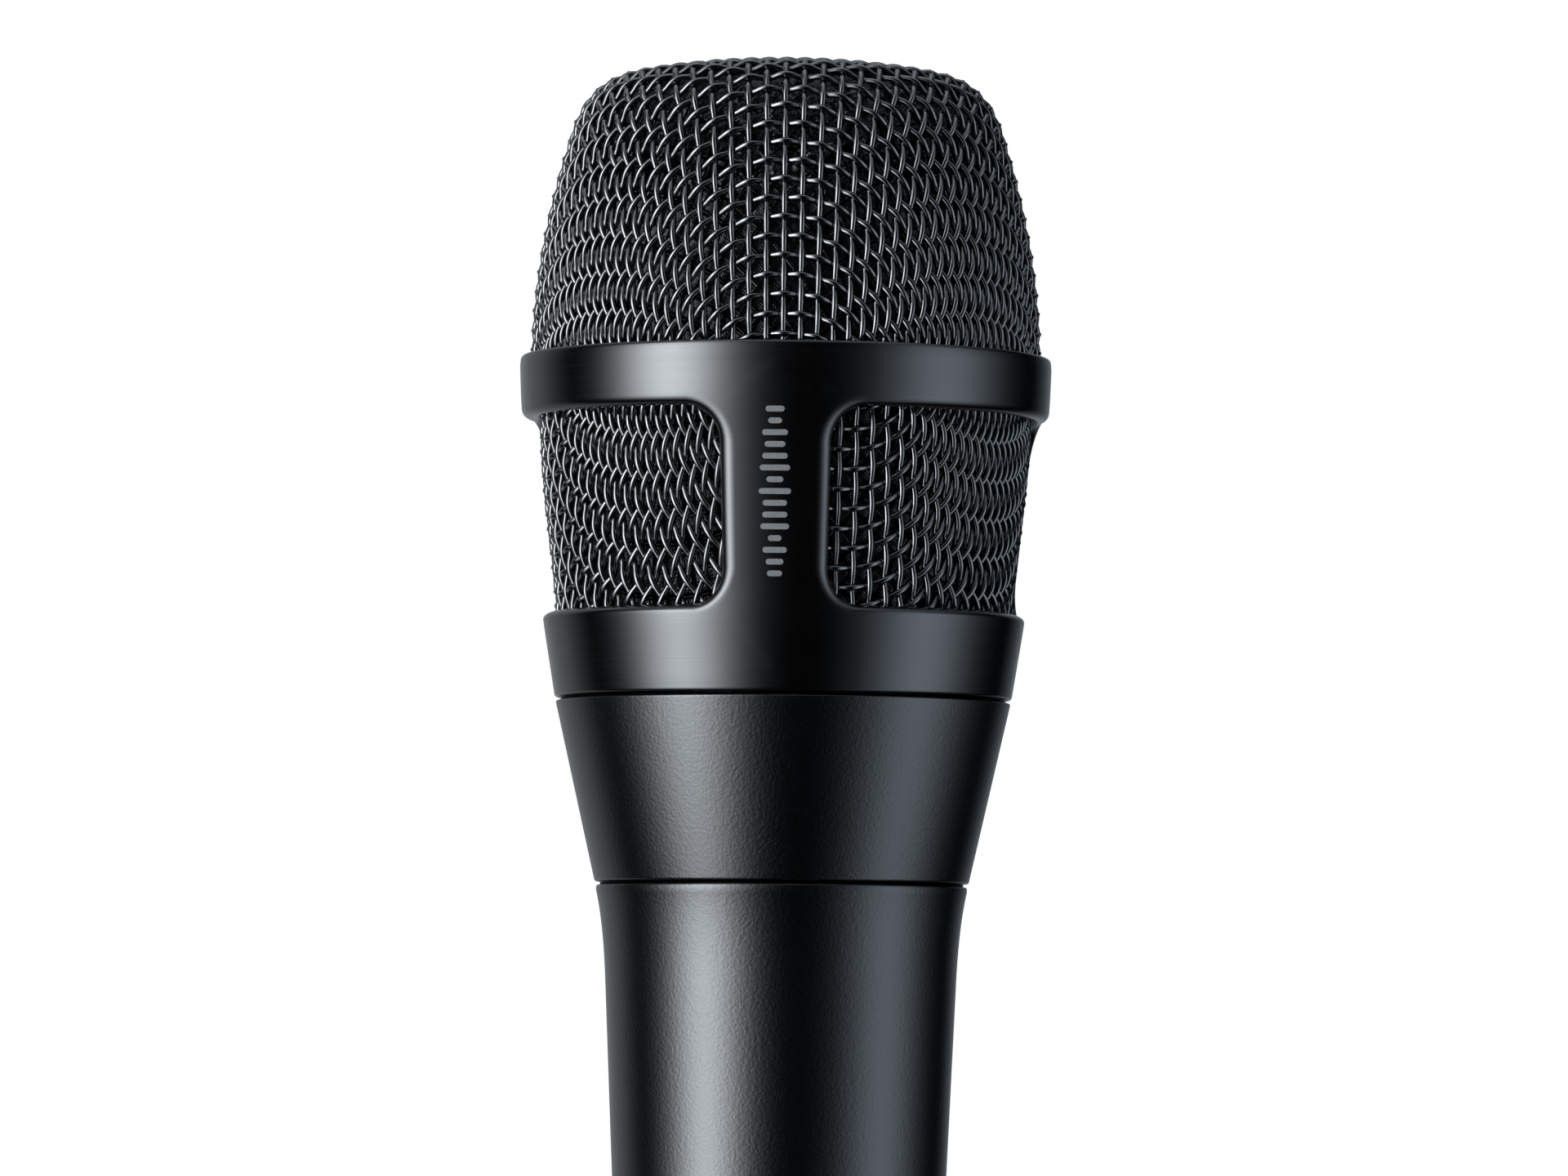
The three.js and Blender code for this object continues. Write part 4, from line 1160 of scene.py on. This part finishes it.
# degrees and metres, with the lens in millimetres
CAMERA = {"azimuth": 2.2, "distance": 0.88, "height": 0.094, "pitch": 2.75, "roll": 0.48, "lens": 211}
SOFT_BOXES = [  # degrees: the middle of each and how far it reaches
    {"azimuth": -49, "width": 20.5, "elevation": 5, "height": 36, "strength": 12.5},
    {"azimuth": 74, "width": 24, "elevation": -8, "height": 40, "strength": 2.4},
]
LEFT_TINT = (0.89, 0.95, 1.0)
RIGHT_TINT = (0.76, 0.88, 1.0)
TINTS_MEET = (-20, 30)
OVERHEAD = {"edge": 35, "full": 75, "strength": 1.0}
BACKDROPS = [{"edge": -106, "full": -130, "strength": 0.38}, {"edge": 140, "full": 178, "strength": 0.38}]
BEHIND_CAMERA = 0.004


def place_camera():
    azimuth, pitch, roll = (math.radians(CAMERA[name]) for name in ("azimuth", "pitch", "roll"))
    camera = bpy.data.objects.new("camera", bpy.data.cameras.new("camera"))
    bpy.context.scene.collection.objects.link(camera)
    camera.data.lens = CAMERA["lens"]
    camera.data.sensor_width = 36
    camera.data.clip_start = 0.05
    distance = CAMERA["distance"]
    camera.location = (distance * math.sin(azimuth), -distance * math.cos(azimuth), CAMERA["height"])
    upright = Matrix.Rotation(azimuth, 4, "Z") @ Matrix.Rotation(math.pi / 2 + pitch, 4, "X")
    camera.rotation_mode = "QUATERNION"
    camera.rotation_quaternion = (upright @ Matrix.Rotation(roll, 4, "Z")).to_quaternion()
    bpy.context.scene.camera = camera


def light_scene():
    """A studio all round: a soft box left of the camera, a weaker one right of it, one overhead, and a pale
    backdrop behind the object. It is dark behind the camera, and the camera sees plain white."""
    scene = bpy.context.scene
    scene.view_settings.view_transform = "Standard"
    world = bpy.data.worlds.new("studio")
    scene.world = world
    world.use_nodes = True
    studio = NodeTree(world.node_tree)
    x, y, z = studio.split(studio.node("ShaderNodeTexCoord").outputs["Generated"])
    azimuth = studio.math("DEGREES", studio.math("ARCTAN2", x, studio.times(y, -1.0)))
    elevation = studio.math("DEGREES", studio.math("ARCSINE", z))
    light = BEHIND_CAMERA
    for box in SOFT_BOXES:
        glow = studio.times(studio.hump(azimuth, box["azimuth"], box["width"]), box["strength"])
        glow = studio.times(glow, studio.hump(elevation, box["elevation"], box["height"]))
        light = studio.math("ADD", glow, light)
    for angle, glow in ((elevation, OVERHEAD), (azimuth, BACKDROPS[0]), (azimuth, BACKDROPS[1])):
        light = studio.math("ADD", light, studio.ramp(angle, glow["edge"], glow["full"], 0, glow["strength"]))
    lighting = studio.tree.nodes["Background"]
    tint = studio.colour_between(studio.ramp(azimuth, *TINTS_MEET), LEFT_TINT, RIGHT_TINT)
    studio.feed(lighting.inputs["Color"], tint)
    studio.feed(lighting.inputs["Strength"], light)
    seen = studio.node("ShaderNodeBackground", Color=(1, 1, 1, 1), Strength=1.0)
    from_camera = studio.node("ShaderNodeLightPath").outputs["Is Camera Ray"]
    mix = studio.node("ShaderNodeMixShader", Fac=from_camera)
    studio.tree.links.new(lighting.outputs[0], mix.inputs[1])
    studio.tree.links.new(seen.outputs[0], mix.inputs[2])
    studio.feed(studio.tree.nodes["World Output"].inputs["Surface"], mix.outputs[0])


def lay_floor():
    bpy.ops.mesh.primitive_grid_add(x_subdivisions=8, y_subdivisions=8, size=8)
    floor = bpy.context.object
    floor.name = "floor"
    floor.location = (0, 0, -0.2 * MM)
    floor.visible_glossy = False  # the soft boxes reach below the floor in reflections
    floor.visible_diffuse = False
    coat(floor, backdrop_paper())


# ---- put together

place_camera()
finish_cad_nodes()
build_body()
build_grille()
build_mounting()
light_scene()
lay_floor()
